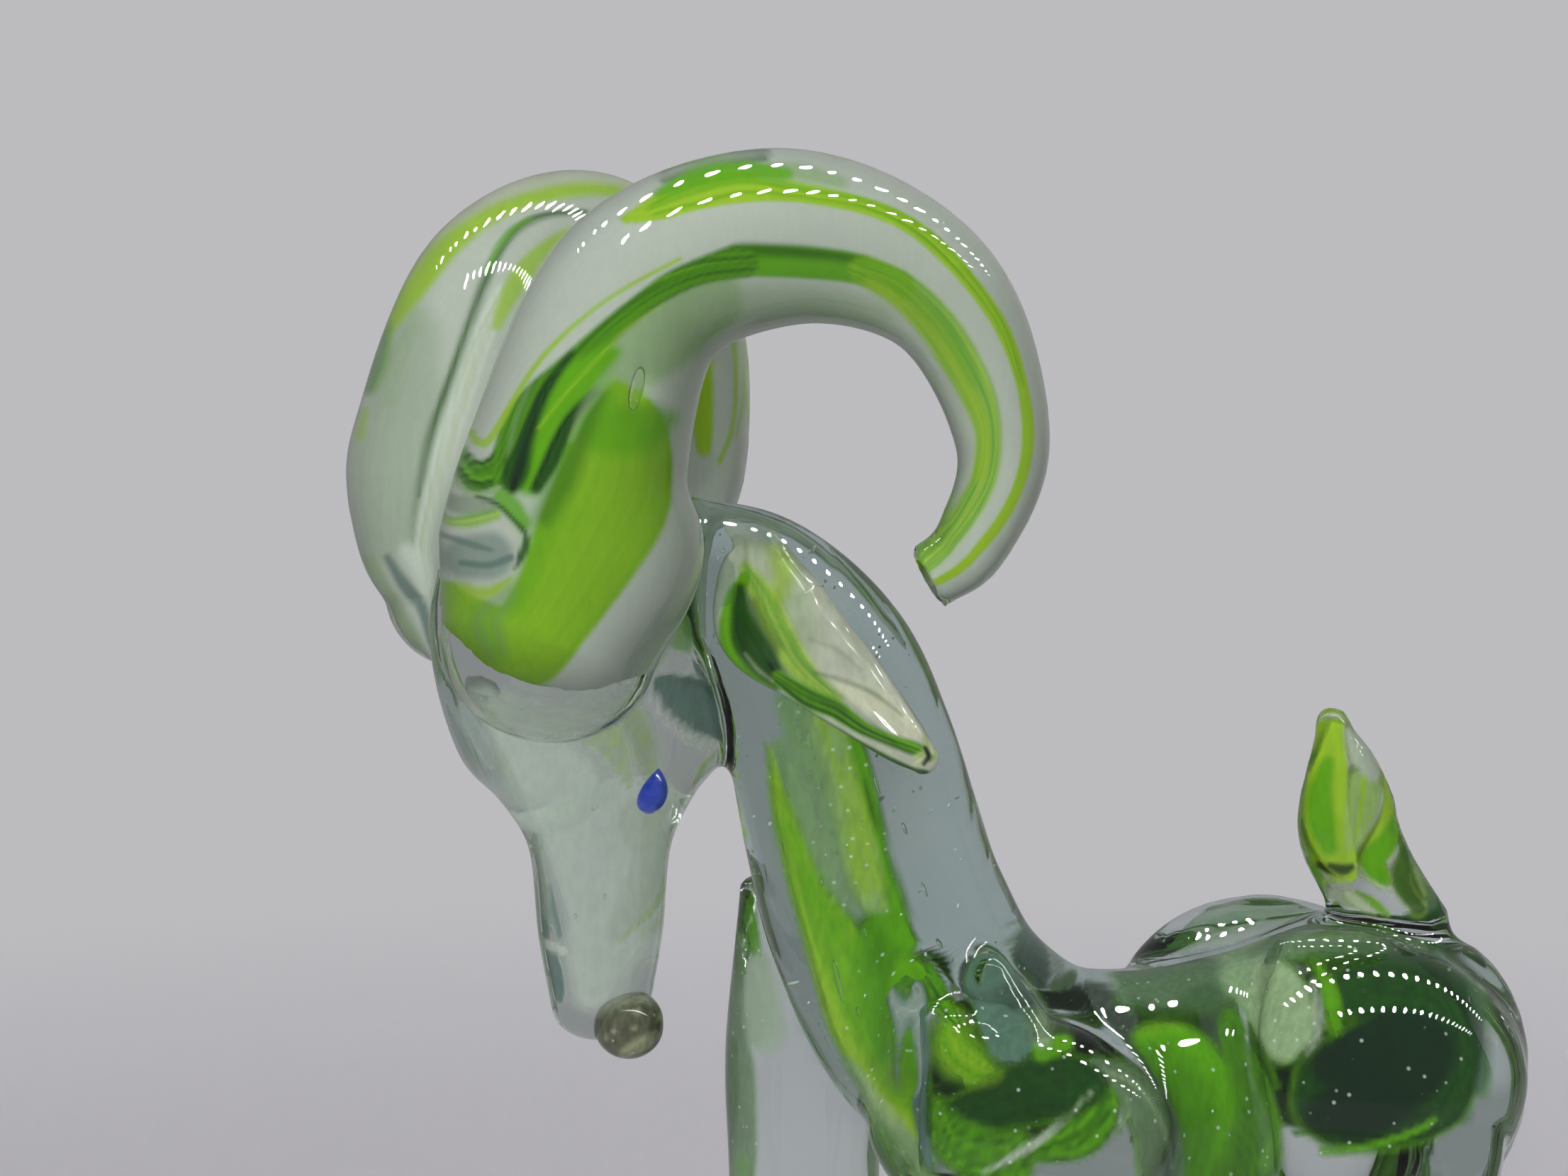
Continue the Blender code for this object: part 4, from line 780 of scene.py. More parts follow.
class Paint:
    """Colour laid on a skin's points: soft strokes given in the main view's picture."""

    def __init__(self, skin, base, cover=1.0, waver=4.0, seed=1, cased=True, hidden=()):
        points = skin.points
        self.colour = np.tile(np.array(base, dtype=float), (len(points), 1))
        self.cover = np.full(len(points), float(cover))
        self.spots = seen_through(skin, hidden) if cased else in_picture(points)
        self.spots = self.spots + wander(points, 6.0, seed)[:, :2] * waver

    def lay(self, colour, mask):
        self.cover = np.maximum(self.cover, mask)
        mask = mask[:, None]
        self.colour = self.colour * (1 - mask) + np.array(colour) * mask

    def line(self, places, soft, threads=False):
        """How far inside a smooth, tapered line each point lies, from 0 to 1. Places are x, y, half width.

        With threads, also how deep each point lies in the fine threads that run along the line.
        """
        rows = np.array(places, dtype=float)
        rows = Skin.smooth(rows, 5) if len(rows) > 1 else np.vstack([rows, rows])
        margin = rows[:, 2].max() + soft
        low, high = rows[:, :2].min(axis=0) - margin, rows[:, :2].max(axis=0) + margin
        near = np.flatnonzero(((self.spots > low) & (self.spots < high)).all(axis=1))
        reach, aside, along = np.full(len(near), -1e9), np.zeros(len(near)), np.zeros(len(near))
        gone, middle = 0.0, rows[:, 2].mean()
        for a, b in zip(rows, rows[1:]):
            step = b[:2] - a[:2]
            length = max(np.linalg.norm(step), 1e-6)
            share = np.clip((self.spots[near] - a[:2]).dot(step) / length**2, 0, 1)
            away = self.spots[near] - a[:2] - share[:, None] * step
            half = between(a[2], b[2], share)
            inside = half - np.linalg.norm(away, axis=1)
            nearer = inside > reach
            reach[nearer] = inside[nearer]
            turn = (away[:, 0] * step[1] - away[:, 1] * step[0]) / length
            aside[nearer] = (turn / np.maximum(half, 1.0) * middle)[nearer]
            along[nearer] = (gone + share * length)[nearer]
            gone += length
        mask = np.zeros(len(self.spots))
        mask[near] = soft_step(-soft, soft, reach)
        if not threads:
            return mask
        draw = random.Random(int(rows[0, 0]))
        depth = np.zeros(len(self.spots))
        for wide, part in ((7.0, 0.3), (12.0, 0.35), (23.0, 0.35)):
            drift = draw.uniform(0.5, 1.5) * np.sin(along / draw.uniform(60, 120) + draw.uniform(0, 6))
            depth[near] += part * np.cos(2 * math.pi * aside / wide + draw.uniform(0, 6) + drift)
        fainter = min(1.0, (20.0 / middle) ** 2)  # a broad stroke shows its threads less
        return mask, np.clip(0.5 + 0.8 * fainter * depth, 0.0, 1.0)

    def stroke(self, names, soft, places, strength=1.0):
        """One stroke of a colour, or of a colour with threads of another in it, or one that clears."""
        soft = max(soft, LEAST_SOFTNESS)
        if names == "clear":
            self.cover = self.cover * (1 - self.line(places, soft) * strength)
            return
        first, *second = (np.array(getattr(colours(), name)) for name in names.split())
        if not second:
            self.lay(first, self.line(places, soft) * strength)
            return
        mask, depth = self.line(places, soft, True)
        depth = depth[:, None]
        self.lay(first * (1 - depth) + second[0] * depth, mask * strength)

    def strokes(self, table):
        for row in table:
            self.stroke(*row)


def mesh_of(name, points, faces, material, swirl=None):
    """A mesh object in the row frame from points in the ram's own axes."""
    data = bpy.data.meshes.new(name)
    data.from_pydata(((points + SHIFT) * MM).tolist(), [], faces)
    data.materials.append(material)
    data.shade_smooth()
    if swirl is not None:
        layer = data.color_attributes.new("swirl", "FLOAT_COLOR", "POINT")
        rows = np.column_stack([swirl.colour, swirl.cover]).astype(np.float32)
        layer.data.foreach_set("color", rows.ravel())
    obj = bpy.data.objects.new(name, data)
    bpy.context.scene.collection.objects.link(obj)
    return obj


def joined(parts):
    """The points and faces of many parts, each given as points and faces, as one."""
    points, faces, first = [], [], 0
    for own_points, own_faces in parts:
        points.append(own_points)
        faces += [tuple(corner + first for corner in face) for face in own_faces]
        first += len(own_points)
    return np.concatenate(points), faces


def settle(obj, slot, *nodes):
    """Let a piece ride on the root in the place of the nodes that it stands for, which are hidden. The slot
    is not used.
    """
    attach(obj, "root")
    if nodes:
        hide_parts(*nodes)


class Nodes:
    """A short way to add and wire shader nodes."""

    def __init__(self, name, world=None):
        self.material = world or bpy.data.materials.new(name)
        self.material.use_nodes = True
        self.tree = self.material.node_tree
        self.shader = self.tree.nodes["Background" if world else "Principled BSDF"]
        self.output = self.tree.nodes["World Output" if world else "Material Output"]

    def add(self, kind, **values):
        node = self.tree.nodes.new(kind)
        for key, value in values.items():
            setattr(node, key, value)
        return node

    def wire(self, source, target):
        self.tree.links.new(source, target)

    def fix(self, values):
        """Set sockets of the shader that are the same all over."""
        for key, value in values.items():
            self.shader.inputs[key].default_value = value

    def feed(self, value, socket):
        """Give a socket what another one puts out, a number or a colour."""
        if isinstance(value, bpy.types.NodeSocket):
            self.wire(value, socket)
        elif isinstance(value, (int, float)):
            socket.default_value = value
        else:
            socket.default_value = (*value[:3], 1.0)

    def noise(self, scale, detail=2.0, stretch=None):
        place = self.add("ShaderNodeTexCoord").outputs["Object"]
        if stretch:
            mapping = self.add("ShaderNodeMapping")
            mapping.inputs["Scale"].default_value = stretch
            self.wire(place, mapping.inputs["Vector"])
            place = mapping.outputs["Vector"]
        texture = self.add("ShaderNodeTexNoise")
        texture.inputs["Scale"].default_value = scale
        texture.inputs["Detail"].default_value = detail
        self.wire(place, texture.inputs["Vector"])
        return texture.outputs["Fac"]

    def ramp(self, source, low, high, dark, light):
        node = self.add("ShaderNodeMapRange", interpolation_type="SMOOTHSTEP")
        for key, value in (("From Min", low), ("From Max", high), ("To Min", dark), ("To Max", light)):
            node.inputs[key].default_value = value
        self.wire(source, node.inputs["Value"])
        return node.outputs["Result"]

    def mix(self, share, a, b):
        node = self.add("ShaderNodeMix", data_type="RGBA")
        for value, socket in ((share, 0), (a, 6), (b, 7)):
            self.feed(value, node.inputs[socket])
        return node.outputs[2]

    def swirl(self, scale, stretch, dark, light):
        """The colour and cover laid on the points, with streaks that darken and lighten the colour."""
        laid = self.add("ShaderNodeAttribute", attribute_name="swirl")
        streaks = self.ramp(self.noise(scale, 3.0, (1.0, 1.0, stretch)), 0.3, 0.7, dark, light)
        shade = self.add("ShaderNodeVectorMath", operation="SCALE")
        self.wire(laid.outputs["Color"], shade.inputs[0])
        self.wire(streaks, shade.inputs["Scale"])
        self.wire(laid.outputs["Alpha"], self.shader.inputs["Alpha"])
        return shade.outputs["Vector"]

    def give_way(self, share, other):
        """Let another shader take this one's place by a share."""
        either = self.add("ShaderNodeMixShader")
        for source, socket in ((share, 0), (self.shader.outputs["BSDF"], 1), (other, 2)):
            self.wire(source, either.inputs[socket])
        self.wire(either.outputs["Shader"], self.output.inputs["Surface"])


def clear_glass(name, tint, deep, index=GLASS_INDEX):
    """Clear glass with faint drifts of tint, which lets lamps through to the colour inside."""
    n = Nodes(name)
    n.fix({"Roughness": 0.0, "IOR": index, "Transmission Weight": 1.0})
    drift = n.ramp(n.noise(120.0, 2.0, (1.0, 1.0, 0.6)), 0.35, 0.7, 0.0, 1.0)
    n.wire(n.mix(drift, tint, deep), n.shader.inputs["Base Color"])
    lamps = n.add("ShaderNodeBsdfTransparent")
    lamps.inputs["Color"].default_value = (LAMP_SHARE, LAMP_SHARE, LAMP_SHARE, 1.0)
    n.give_way(n.add("ShaderNodeLightPath").outputs["Is Shadow Ray"], lamps.outputs["BSDF"])
    n.material.diffuse_color = (*tint[:3], 0.4)
    return n.material


def swirl_glass(name, streaks, specks=0.0):
    """Coloured glass cased in clear: the swirl laid on its points, with fine cords and seeds."""
    n = Nodes(name)
    colour = n.swirl(2200.0, 0.35, 1.0 - streaks, 1.0 + streaks)
    if specks:
        cells = n.add("ShaderNodeTexVoronoi")
        cells.inputs["Scale"].default_value = 900.0
        n.wire(n.add("ShaderNodeTexCoord").outputs["Object"], cells.inputs["Vector"])
        dots = n.ramp(cells.outputs["Distance"], 0.05, 0.16, specks, 0.0)
        colour = n.mix(dots, colour, (0.8, 0.85, 0.8))
    n.wire(colour, n.shader.inputs["Base Color"])
    n.fix({"Roughness": 0.6, "Specular IOR Level": 0.0})
    return n.material


class RamSizes(bpy.types.PropertyGroup):
    """Sizes of the glass work that a maker would change."""

    melt_grain: bpy.props.FloatProperty(
        name="Melt grain", description="Size of the smallest bump that the melted skin keeps",
        default=0.40 * MM, min=0.2 * MM, max=1.0 * MM, precision=5, subtype="DISTANCE", unit="LENGTH")
    wobble: bpy.props.FloatProperty(
        name="Wobble", description="How far the hand-worked surface strays from an even one",
        default=0.06 * MM, min=0.0, max=0.5 * MM, precision=5, subtype="DISTANCE", unit="LENGTH")
    horn_wall: bpy.props.FloatProperty(
        name="Horn wall", description="Clear glass over the striped cane in the horns",
        default=1.7 * MM, min=0.8 * MM, max=2.4 * MM, precision=5, subtype="DISTANCE", unit="LENGTH")
    seed_count: bpy.props.IntProperty(
        name="Seeds", description="How many fine air seeds hang in the body", default=220, min=0, max=1000)


class RamColours(bpy.types.PropertyGroup):
    """Colours of the glass, of the floor and of the backdrop."""

    clear: bpy.props.FloatVectorProperty(
        name="Clear glass", description="Tint of the clear casing",
        default=(0.63, 0.77, 0.72), size=3, min=0.0, max=1.0, subtype="COLOR")
    aqua: bpy.props.FloatVectorProperty(
        name="Aqua drift", description="Deeper tint that drifts through the clear casing",
        default=(0.55, 0.70, 0.67), size=3, min=0.0, max=1.0, subtype="COLOR")
    lime: bpy.props.FloatVectorProperty(
        name="Lime", description="Yellowish green of the swirls",
        default=(0.29, 0.46, 0.022), size=3, min=0.0, max=1.0, subtype="COLOR")
    grass: bpy.props.FloatVectorProperty(
        name="Grass green", description="Bright green of the swirls",
        default=(0.105, 0.32, 0.004), size=3, min=0.0, max=1.0, subtype="COLOR")
    bottle: bpy.props.FloatVectorProperty(
        name="Bottle green", description="Dark green of the swirls and the rump",
        default=(0.016, 0.078, 0.005), size=3, min=0.0, max=1.0, subtype="COLOR")
    opal: bpy.props.FloatVectorProperty(
        name="Opal white", description="White of the horns and the tail",
        default=(0.46, 0.485, 0.425), size=3, min=0.0, max=1.0, subtype="COLOR")
    sage: bpy.props.FloatVectorProperty(
        name="Sage", description="Pale grey green of the thin veils",
        default=(0.13, 0.19, 0.115), size=3, min=0.0, max=1.0, subtype="COLOR")
    mint: bpy.props.FloatVectorProperty(
        name="Mint", description="Pale green where white and green run together",
        default=(0.28, 0.38, 0.205), size=3, min=0.0, max=1.0, subtype="COLOR")
    cream: bpy.props.FloatVectorProperty(
        name="Cream", description="Warm white of the ears and the far horn's margin",
        default=(0.49, 0.52, 0.37), size=3, min=0.0, max=1.0, subtype="COLOR")
    milk: bpy.props.FloatVectorProperty(
        name="Milk", description="Thin veil inside the head",
        default=(0.60, 0.66, 0.58), size=3, min=0.0, max=1.0, subtype="COLOR")
    slate: bpy.props.FloatVectorProperty(
        name="Slate", description="Grey green patches in the cheek and the shoulder",
        default=(0.095, 0.16, 0.14), size=3, min=0.0, max=1.0, subtype="COLOR")
    pitch: bpy.props.FloatVectorProperty(
        name="Pitch", description="Darkest green, in the haunch and at the ear's tip",
        default=(0.006, 0.02, 0.008), size=3, min=0.0, max=1.0, subtype="COLOR")
    cobalt: bpy.props.FloatVectorProperty(
        name="Cobalt", description="Blue of the eye drops",
        default=(0.004, 0.028, 0.30), size=3, min=0.0, max=1.0, subtype="COLOR")
    smoke: bpy.props.FloatVectorProperty(
        name="Smoke", description="Grey brown of the nose bead",
        default=(0.46, 0.48, 0.36), size=3, min=0.0, max=1.0, subtype="COLOR")
    backdrop: bpy.props.FloatVectorProperty(
        name="Backdrop", description="Pale grey behind the figure",
        default=(0.505, 0.50, 0.52), size=3, min=0.0, max=1.0, subtype="COLOR")


def sizes():
    return bpy.context.scene.ram_sizes


def colours():
    return bpy.context.scene.ram_colours


def clear_runs():
    """Every clear run with the node that it belongs to, the casings first and then their lumps."""
    runs = [
        ("body", Skin(BODY, LEFT, (3.0, 7.3))),
        ("head", Skin(HEAD, HEAD_LEFT, (3.0, 2.4), ahead=DOWN)),
        ("left_horn", Skin(LEFT_HORN, LEFT_HORN_SIDE, (6.5, 0.0), slant=BROKEN_END_SLANT)),
        ("right_horn", Skin(RIGHT_HORN, RIGHT_HORN_SIDE, (5.4, 2.2))),
        ("left_front_leg", Skin(LEFT_FRONT_LEG, LEFT, (1.1, 0.0), ahead=DOWN)),
        ("left_hind_leg", Skin(LEFT_HIND_LEG, LEFT, (1.15, 0.0), ahead=DOWN)),
        ("right_front_leg", Skin(RIGHT_FRONT_LEG, LEFT, (1.1, 0.0), ahead=DOWN)),
        ("right_hind_leg", Skin(RIGHT_HIND_LEG, LEFT, (1.15, 0.0), ahead=DOWN)),
        ("tail", Skin(TAIL, LEFT, (2.3, 1.7))),
    ]
    turns = np.linspace(0.15, math.pi - 0.15, 12)
    for name, (x, y, z), (deep, wide, tall) in EGGS:
        rings = [(x, y, z + tall * math.cos(a), deep * math.sin(a), wide * math.sin(a)) for a in turns]
        runs.append((name, Skin(rings, LEFT, (0.1, 0.1), ahead=DOWN, steps=3)))
    for name, places in LUMPS:
        stations = [(x, y, z, half, half) for x, y, z, half in places]
        runs.append((name, Skin(stations, LEFT, (places[0][3], places[-1][3]), facets=20, steps=6)))
    return runs


def melt(runs, grain):
    """One surface round all the runs, as points and faces, still with its voxel steps."""
    points, faces = joined((skin.points, skin.faces) for _, skin in runs)
    data = bpy.data.meshes.new("melt")
    data.from_pydata(points.tolist(), [], faces)
    obj = bpy.data.objects.new("melt", data)
    bpy.context.scene.collection.objects.link(obj)
    remesh = obj.modifiers.new("melt", "REMESH")
    remesh.mode = "VOXEL"
    remesh.voxel_size = grain
    graph = bpy.context.evaluated_depsgraph_get()
    shell = obj.evaluated_get(graph).to_mesh()
    count = len(shell.vertices)
    if not count:
        raise RuntimeError("the clear casing did not melt into a surface")
    found = np.empty(count * 3, dtype=np.float64)
    shell.vertices.foreach_get("co", found)
    corners = np.empty(len(shell.loops), dtype=np.int32)
    shell.loops.foreach_get("vertex_index", corners)
    starts = np.empty(len(shell.polygons), dtype=np.int32)
    shell.polygons.foreach_get("loop_start", starts)
    obj.evaluated_get(graph).to_mesh_clear()
    bpy.data.objects.remove(obj, do_unlink=True)
    bpy.data.meshes.remove(data)
    ends = np.append(starts[1:], len(corners))
    quads = np.array([corners[a:b] for a, b in zip(starts, ends) if b - a == 4])
    if len(quads) != len(starts):
        raise RuntimeError("the melted surface has faces that are not quads")
    return found.reshape(-1, 3), quads


def relax(points, edges, rounds, weight, push=0.5, pull=-0.52):
    """Even out a surface: each point moves towards its neighbours' middle, then part way back."""
    count = np.bincount(edges.ravel(), minlength=len(points)).astype(float)[:, None]
    weight = weight[:, None]
    for step in range(rounds):
        for share in (push, pull):
            if not share:
                continue
            total = np.zeros_like(points)
            for axis in range(points.shape[1]):
                total[:, axis] = np.bincount(edges[:, 0], points[edges[:, 1], axis], len(points))
                total[:, axis] += np.bincount(edges[:, 1], points[edges[:, 0], axis], len(points))
            points = points + (total / count - points) * share * weight
    return points


def edges_of(quads):
    pairs = np.concatenate([quads[:, [i, (i + 1) % 4]] for i in range(4)])
    return np.unique(np.sort(pairs, axis=1), axis=0)


def normals_of(points, quads):
    a, b = points[quads[:, 2]] - points[quads[:, 0]], points[quads[:, 3]] - points[quads[:, 1]]
    faces = np.cross(a, b)
    found = np.zeros_like(points)
    for axis in range(3):
        for corner in range(4):
            found[:, axis] += np.bincount(quads[:, corner], faces[:, axis], len(points))
    return found / np.linalg.norm(found, axis=1)[:, None]


class RAM_OT_clear_glass(bpy.types.Operator):
    """Melt the clear casings together and part the skin into its named pieces again"""

    bl_idname = "ram.clear_glass"
    bl_label = "Clear Glass"

    def execute(self, context):
        grain = sizes().melt_grain / MM
        runs = clear_runs()
        points, quads = melt(runs, grain)
        edges = edges_of(quads)
        names = list(dict.fromkeys(name for name, _ in runs))
        tree = kdtree.KDTree(sum(len(skin.points) for _, skin in runs))
        owner = []
        for name, skin in runs:
            for point in skin.points:
                tree.insert(point, len(owner))
                owner.append(names.index(name))
        tree.balance()
        owner = np.array(owner)
        label = owner[[tree.find(point)[1] for point in points]]
        points = relax(points, edges, EVEN_ROUNDS, np.ones(len(points)))
        near = np.zeros(len(points))
        border = label[edges[:, 0]] != label[edges[:, 1]]
        near[edges[border].ravel()] = 1.0
        for _ in range(round(SEAM_REACH / grain)):
            lifted = near.copy()
            np.maximum.at(lifted, edges[:, 0], near[edges[:, 1]] - grain / SEAM_FADE)
            np.maximum.at(lifted, edges[:, 1], near[edges[:, 0]] - grain / SEAM_FADE)
            near = lifted
        points = relax(points, edges, round(SEAM_EASE / grain), near, pull=0.0)
        out = normals_of(points, quads)
        stray = wander(points, 7.0, 3)[:, 0] + 0.12 * wander(points, 2.6, 5)[:, 0]
        stray *= soft_step(0.3, 2.5, points[:, 2])  # the feet stay flat
        points = points + out * (stray * sizes().wobble / MM)[:, None]
        out = normals_of(points, quads)
        votes = label[quads]
        share = np.array([np.bincount(row, minlength=len(names)).argmax() for row in votes])
        melted.update(tree=BVHTree.FromPolygons(points.tolist(), quads.tolist()), normals=out, quads=quads)
        melted["owner"] = [names[index] for index in share]
        tints = (colours().clear, colours().aqua)
        glass = clear_glass("clear_aqua_glass", *tints)
        pale = clear_glass("pale_horn_glass", *([0.5 + 0.5 * value for value in tint] for tint in tints))
        for index, name in enumerate(names):
            own = quads[share == index]
            if not len(own):
                raise RuntimeError(f"no clear glass was left for {name}")
            used, place = np.unique(own, return_inverse=True)
            material = glass if name == "body" else pale
            obj = mesh_of(f"{name}_glass", points[used], place.reshape(-1, 4).tolist(), material)
            obj.data.normals_split_custom_set_from_vertices(out[used].tolist())
            settle(obj, "aqua_clear", name)
        return {"FINISHED"}


class RAM_OT_horn_canes(bpy.types.Operator):
    """Lay the striped canes inside the two horns"""

    bl_idname = "ram.horn_canes"
    bl_label = "Horn Canes"

    def execute(self, context):
        c = colours()
        wall = sizes().horn_wall / MM
        material = swirl_glass("striped_cane_glass", 0.02)
        shares = [1.2, 1.2, 1.1, 1.0, 0.9, 0.75, 0.6, 0.5, 0.45]
        cores = [core_of(stations, [wall * share for share in own]) for stations, own in
                 ((LEFT_HORN, shares), (RIGHT_HORN, [1.1, *shares]))]
        x, y, z, depth, width = cores[0][0]
        cores[0][0] = (x + 0.2, y, z + 1.2, depth - 0.3, width - 0.3)
        left = Skin(cores[0], LEFT_HORN_SIDE, (2.9, 0.0), facets=180, steps=34, slant=BROKEN_END_SLANT)
        paint = Paint(left, c.opal, 1.0, 2.5)
        paint.strokes(LEFT_HORN_STROKES)
        cane = mesh_of("left_horn_cane", left.points, left.faces, material, paint)
        settle(cane, "striped_cane", "left_horn_core")
        right = Skin(cores[1], RIGHT_HORN_SIDE, (4.0, 1.5), facets=150, steps=28)
        paint = Paint(right, c.opal, 1.0, 3.0, 2, hidden=("left_horn",))
        paint.strokes(RIGHT_HORN_STROKES)
        cane = mesh_of("right_horn_cane", right.points, right.faces, material, paint)
        settle(cane, "striped_cane", "right_horn_core")
        return {"FINISHED"}


class RAM_OT_head_veil(bpy.types.Operator):
    """Hang the milky veil inside the head and muzzle"""

    bl_idname = "ram.head_veil"
    bl_label = "Head Veil"

    def execute(self, context):
        c = colours()
        core = [(x, y, z, depth - 0.8, (width - 1.1) * 0.6) for x, y, z, depth, width in HEAD[2:]]
        skin = Skin(core, HEAD_LEFT, (4.0, 1.0), ahead=DOWN, facets=110, steps=22)
        paint = Paint(skin, c.milk, 0.0, 3.0, 4)
        paint.strokes(HEAD_STROKES)
        veil = swirl_glass("milky_veil_glass", 0.05)
        settle(mesh_of("head_veil", skin.points, skin.faces, veil, paint), "milky_veil", "head_core")
        return {"FINISHED"}


class RAM_OT_body_colour(bpy.types.Operator):
    """Case the green ribbon in the neck and the swirls in the barrel and rump"""

    bl_idname = "ram.body_colour"
    bl_label = "Body Colour"

    def execute(self, context):
        c = colours()
        material = swirl_glass("green_swirl_glass", 0.10, 0.5)
        ribbon = [(x, -2.6, z, depth - 1.1, 0.9) for x, _, z, depth, _ in BODY[:9]]
        trunk = [(x, -0.6, z, depth - 1.6, (width - 1.6) * 0.7) for x, _, z, depth, width in BODY[6:]]
        for name, core, domes, table in (
            ("neck_ribbon", ribbon, (2.0, 2.0), BODY_STROKES),
            ("barrel_swirl", trunk, (4.5, 5.0), FLANK_STROKES),
        ):
            skin = Skin(core, LEFT, domes, facets=130, steps=22)
            paint = Paint(skin, c.grass, 0.0, 3.0, len(table))
            paint.strokes(table)
            settle(mesh_of(name, skin.points, skin.faces, material, paint), "green_core", "body_core")
        return {"FINISHED"}


class RAM_OT_leg_colour(bpy.types.Operator):
    """Case the green in the shoulders, haunches and upper legs"""

    bl_idname = "ram.leg_colour"
    bl_label = "Leg Colour"

    def execute(self, context):
        c = colours()
        material = swirl_glass("leg_green_glass", 0.10, 0.5)
        for name, stations, table in (
            ("left_front_leg", LEFT_FRONT_LEG, FLANK_STROKES),
            ("left_hind_leg", LEFT_HIND_LEG, FLANK_STROKES),
            ("right_front_leg", RIGHT_FRONT_LEG, RIGHT_SHOULDER_STROKES),
            ("right_hind_leg", RIGHT_HIND_LEG, RIGHT_HAUNCH_STROKES),
        ):
            core = core_of(stations[:7], [LEG_CORE_WALL] * 7)
            skin = Skin(core, LEFT, (0.8, 2.0), ahead=DOWN, facets=110, steps=18)
            paint = Paint(skin, c.grass, 0.0, 3.0, len(table))
            paint.strokes(table)
            swirl = mesh_of(f"{name}_swirl", skin.points, skin.faces, material, paint)
            settle(swirl, "green_core", f"{name}_core")
        return {"FINISHED"}


class RAM_OT_ears(bpy.types.Operator):
    """Draw out the two leaf-shaped ears, with their folds"""

    bl_idname = "ram.ears"
    bl_label = "Ears"

    def execute(self, context):
        n = Nodes("leaf_glass")
        colour = n.swirl(1400.0, 0.4, 0.9, 1.08)
        # Painted shade: where the leaf is seen edge-on, its colour is mixed towards dark green, standing in
        # for the dark outline of the translucent glass
        edge = n.add("ShaderNodeLayerWeight")
        edge.inputs["Blend"].default_value = 0.5
        rim = n.ramp(edge.outputs["Facing"], 0.72, 0.98, 0.0, 0.75)
        n.wire(n.mix(rim, colour, (0.05, 0.09, 0.05)), n.shader.inputs["Base Color"])
        n.fix({"Roughness": 0.35, "Specular IOR Level": 0.3, "Coat Weight": 0.5, "Coat Roughness": 0.02})
        for name, stations, side, domes in (
            ("left_ear", [(*seen(*row[:3]), *row[3:]) for row in LEFT_LEAF], LEFT_EAR_SIDE, (1.0, 0.9)),
            ("right_ear", RIGHT_EAR, RIGHT_EAR_SIDE, (1.9, 1.5)),
        ):
            skin = Skin(stations, side, domes, facets=130, steps=26)
            fade = soft_step(0.0, 3.0, skin.along)
            fade *= soft_step(skin.length + 1.0, skin.length - 4.0, skin.along)
            fold = 0.30 * np.cos(skin.across * 7.5 + 0.6)
            fold -= 0.35 * soft_step(0.28, 0.0, np.abs(skin.across + 0.18))
            out = np.sign(skin.over) * np.abs(skin.over) ** 0.5
            skin.points = skin.points + np.array(side) * (fold * fade * out)[:, None]
            paint = Paint(skin, (0.42, 0.46, 0.35), 1.0, 2.5, 6, cased=False)
            if name == "right_ear":
                paint.spots = spots_like(stations, LEFT_EAR, skin)
            paint.strokes(EAR_STROKES)
            settle(mesh_of(name + "_leaf", skin.points, skin.faces, n.material, paint), "leaf_green", name)
        return {"FINISHED"}


class RAM_OT_tail_colour(bpy.types.Operator):
    """Case the green and white inside the tail"""

    bl_idname = "ram.tail_colour"
    bl_label = "Tail Colour"

    def execute(self, context):
        c = colours()
        core = [(x, y, z, depth * 0.8, width * 0.6) for x, y, z, depth, width in TAIL]
        skin = Skin(core, LEFT, (1.0, 1.0), facets=110, steps=20)
        paint = Paint(skin, c.lime, 0.0, 2.0, 8)
        paint.strokes(TAIL_STROKES)
        material = swirl_glass("tail_swirl_glass", 0.06)
        settle(mesh_of("tail_swirl", skin.points, skin.faces, material, paint), "green_core", "tail_core")
        return {"FINISHED"}


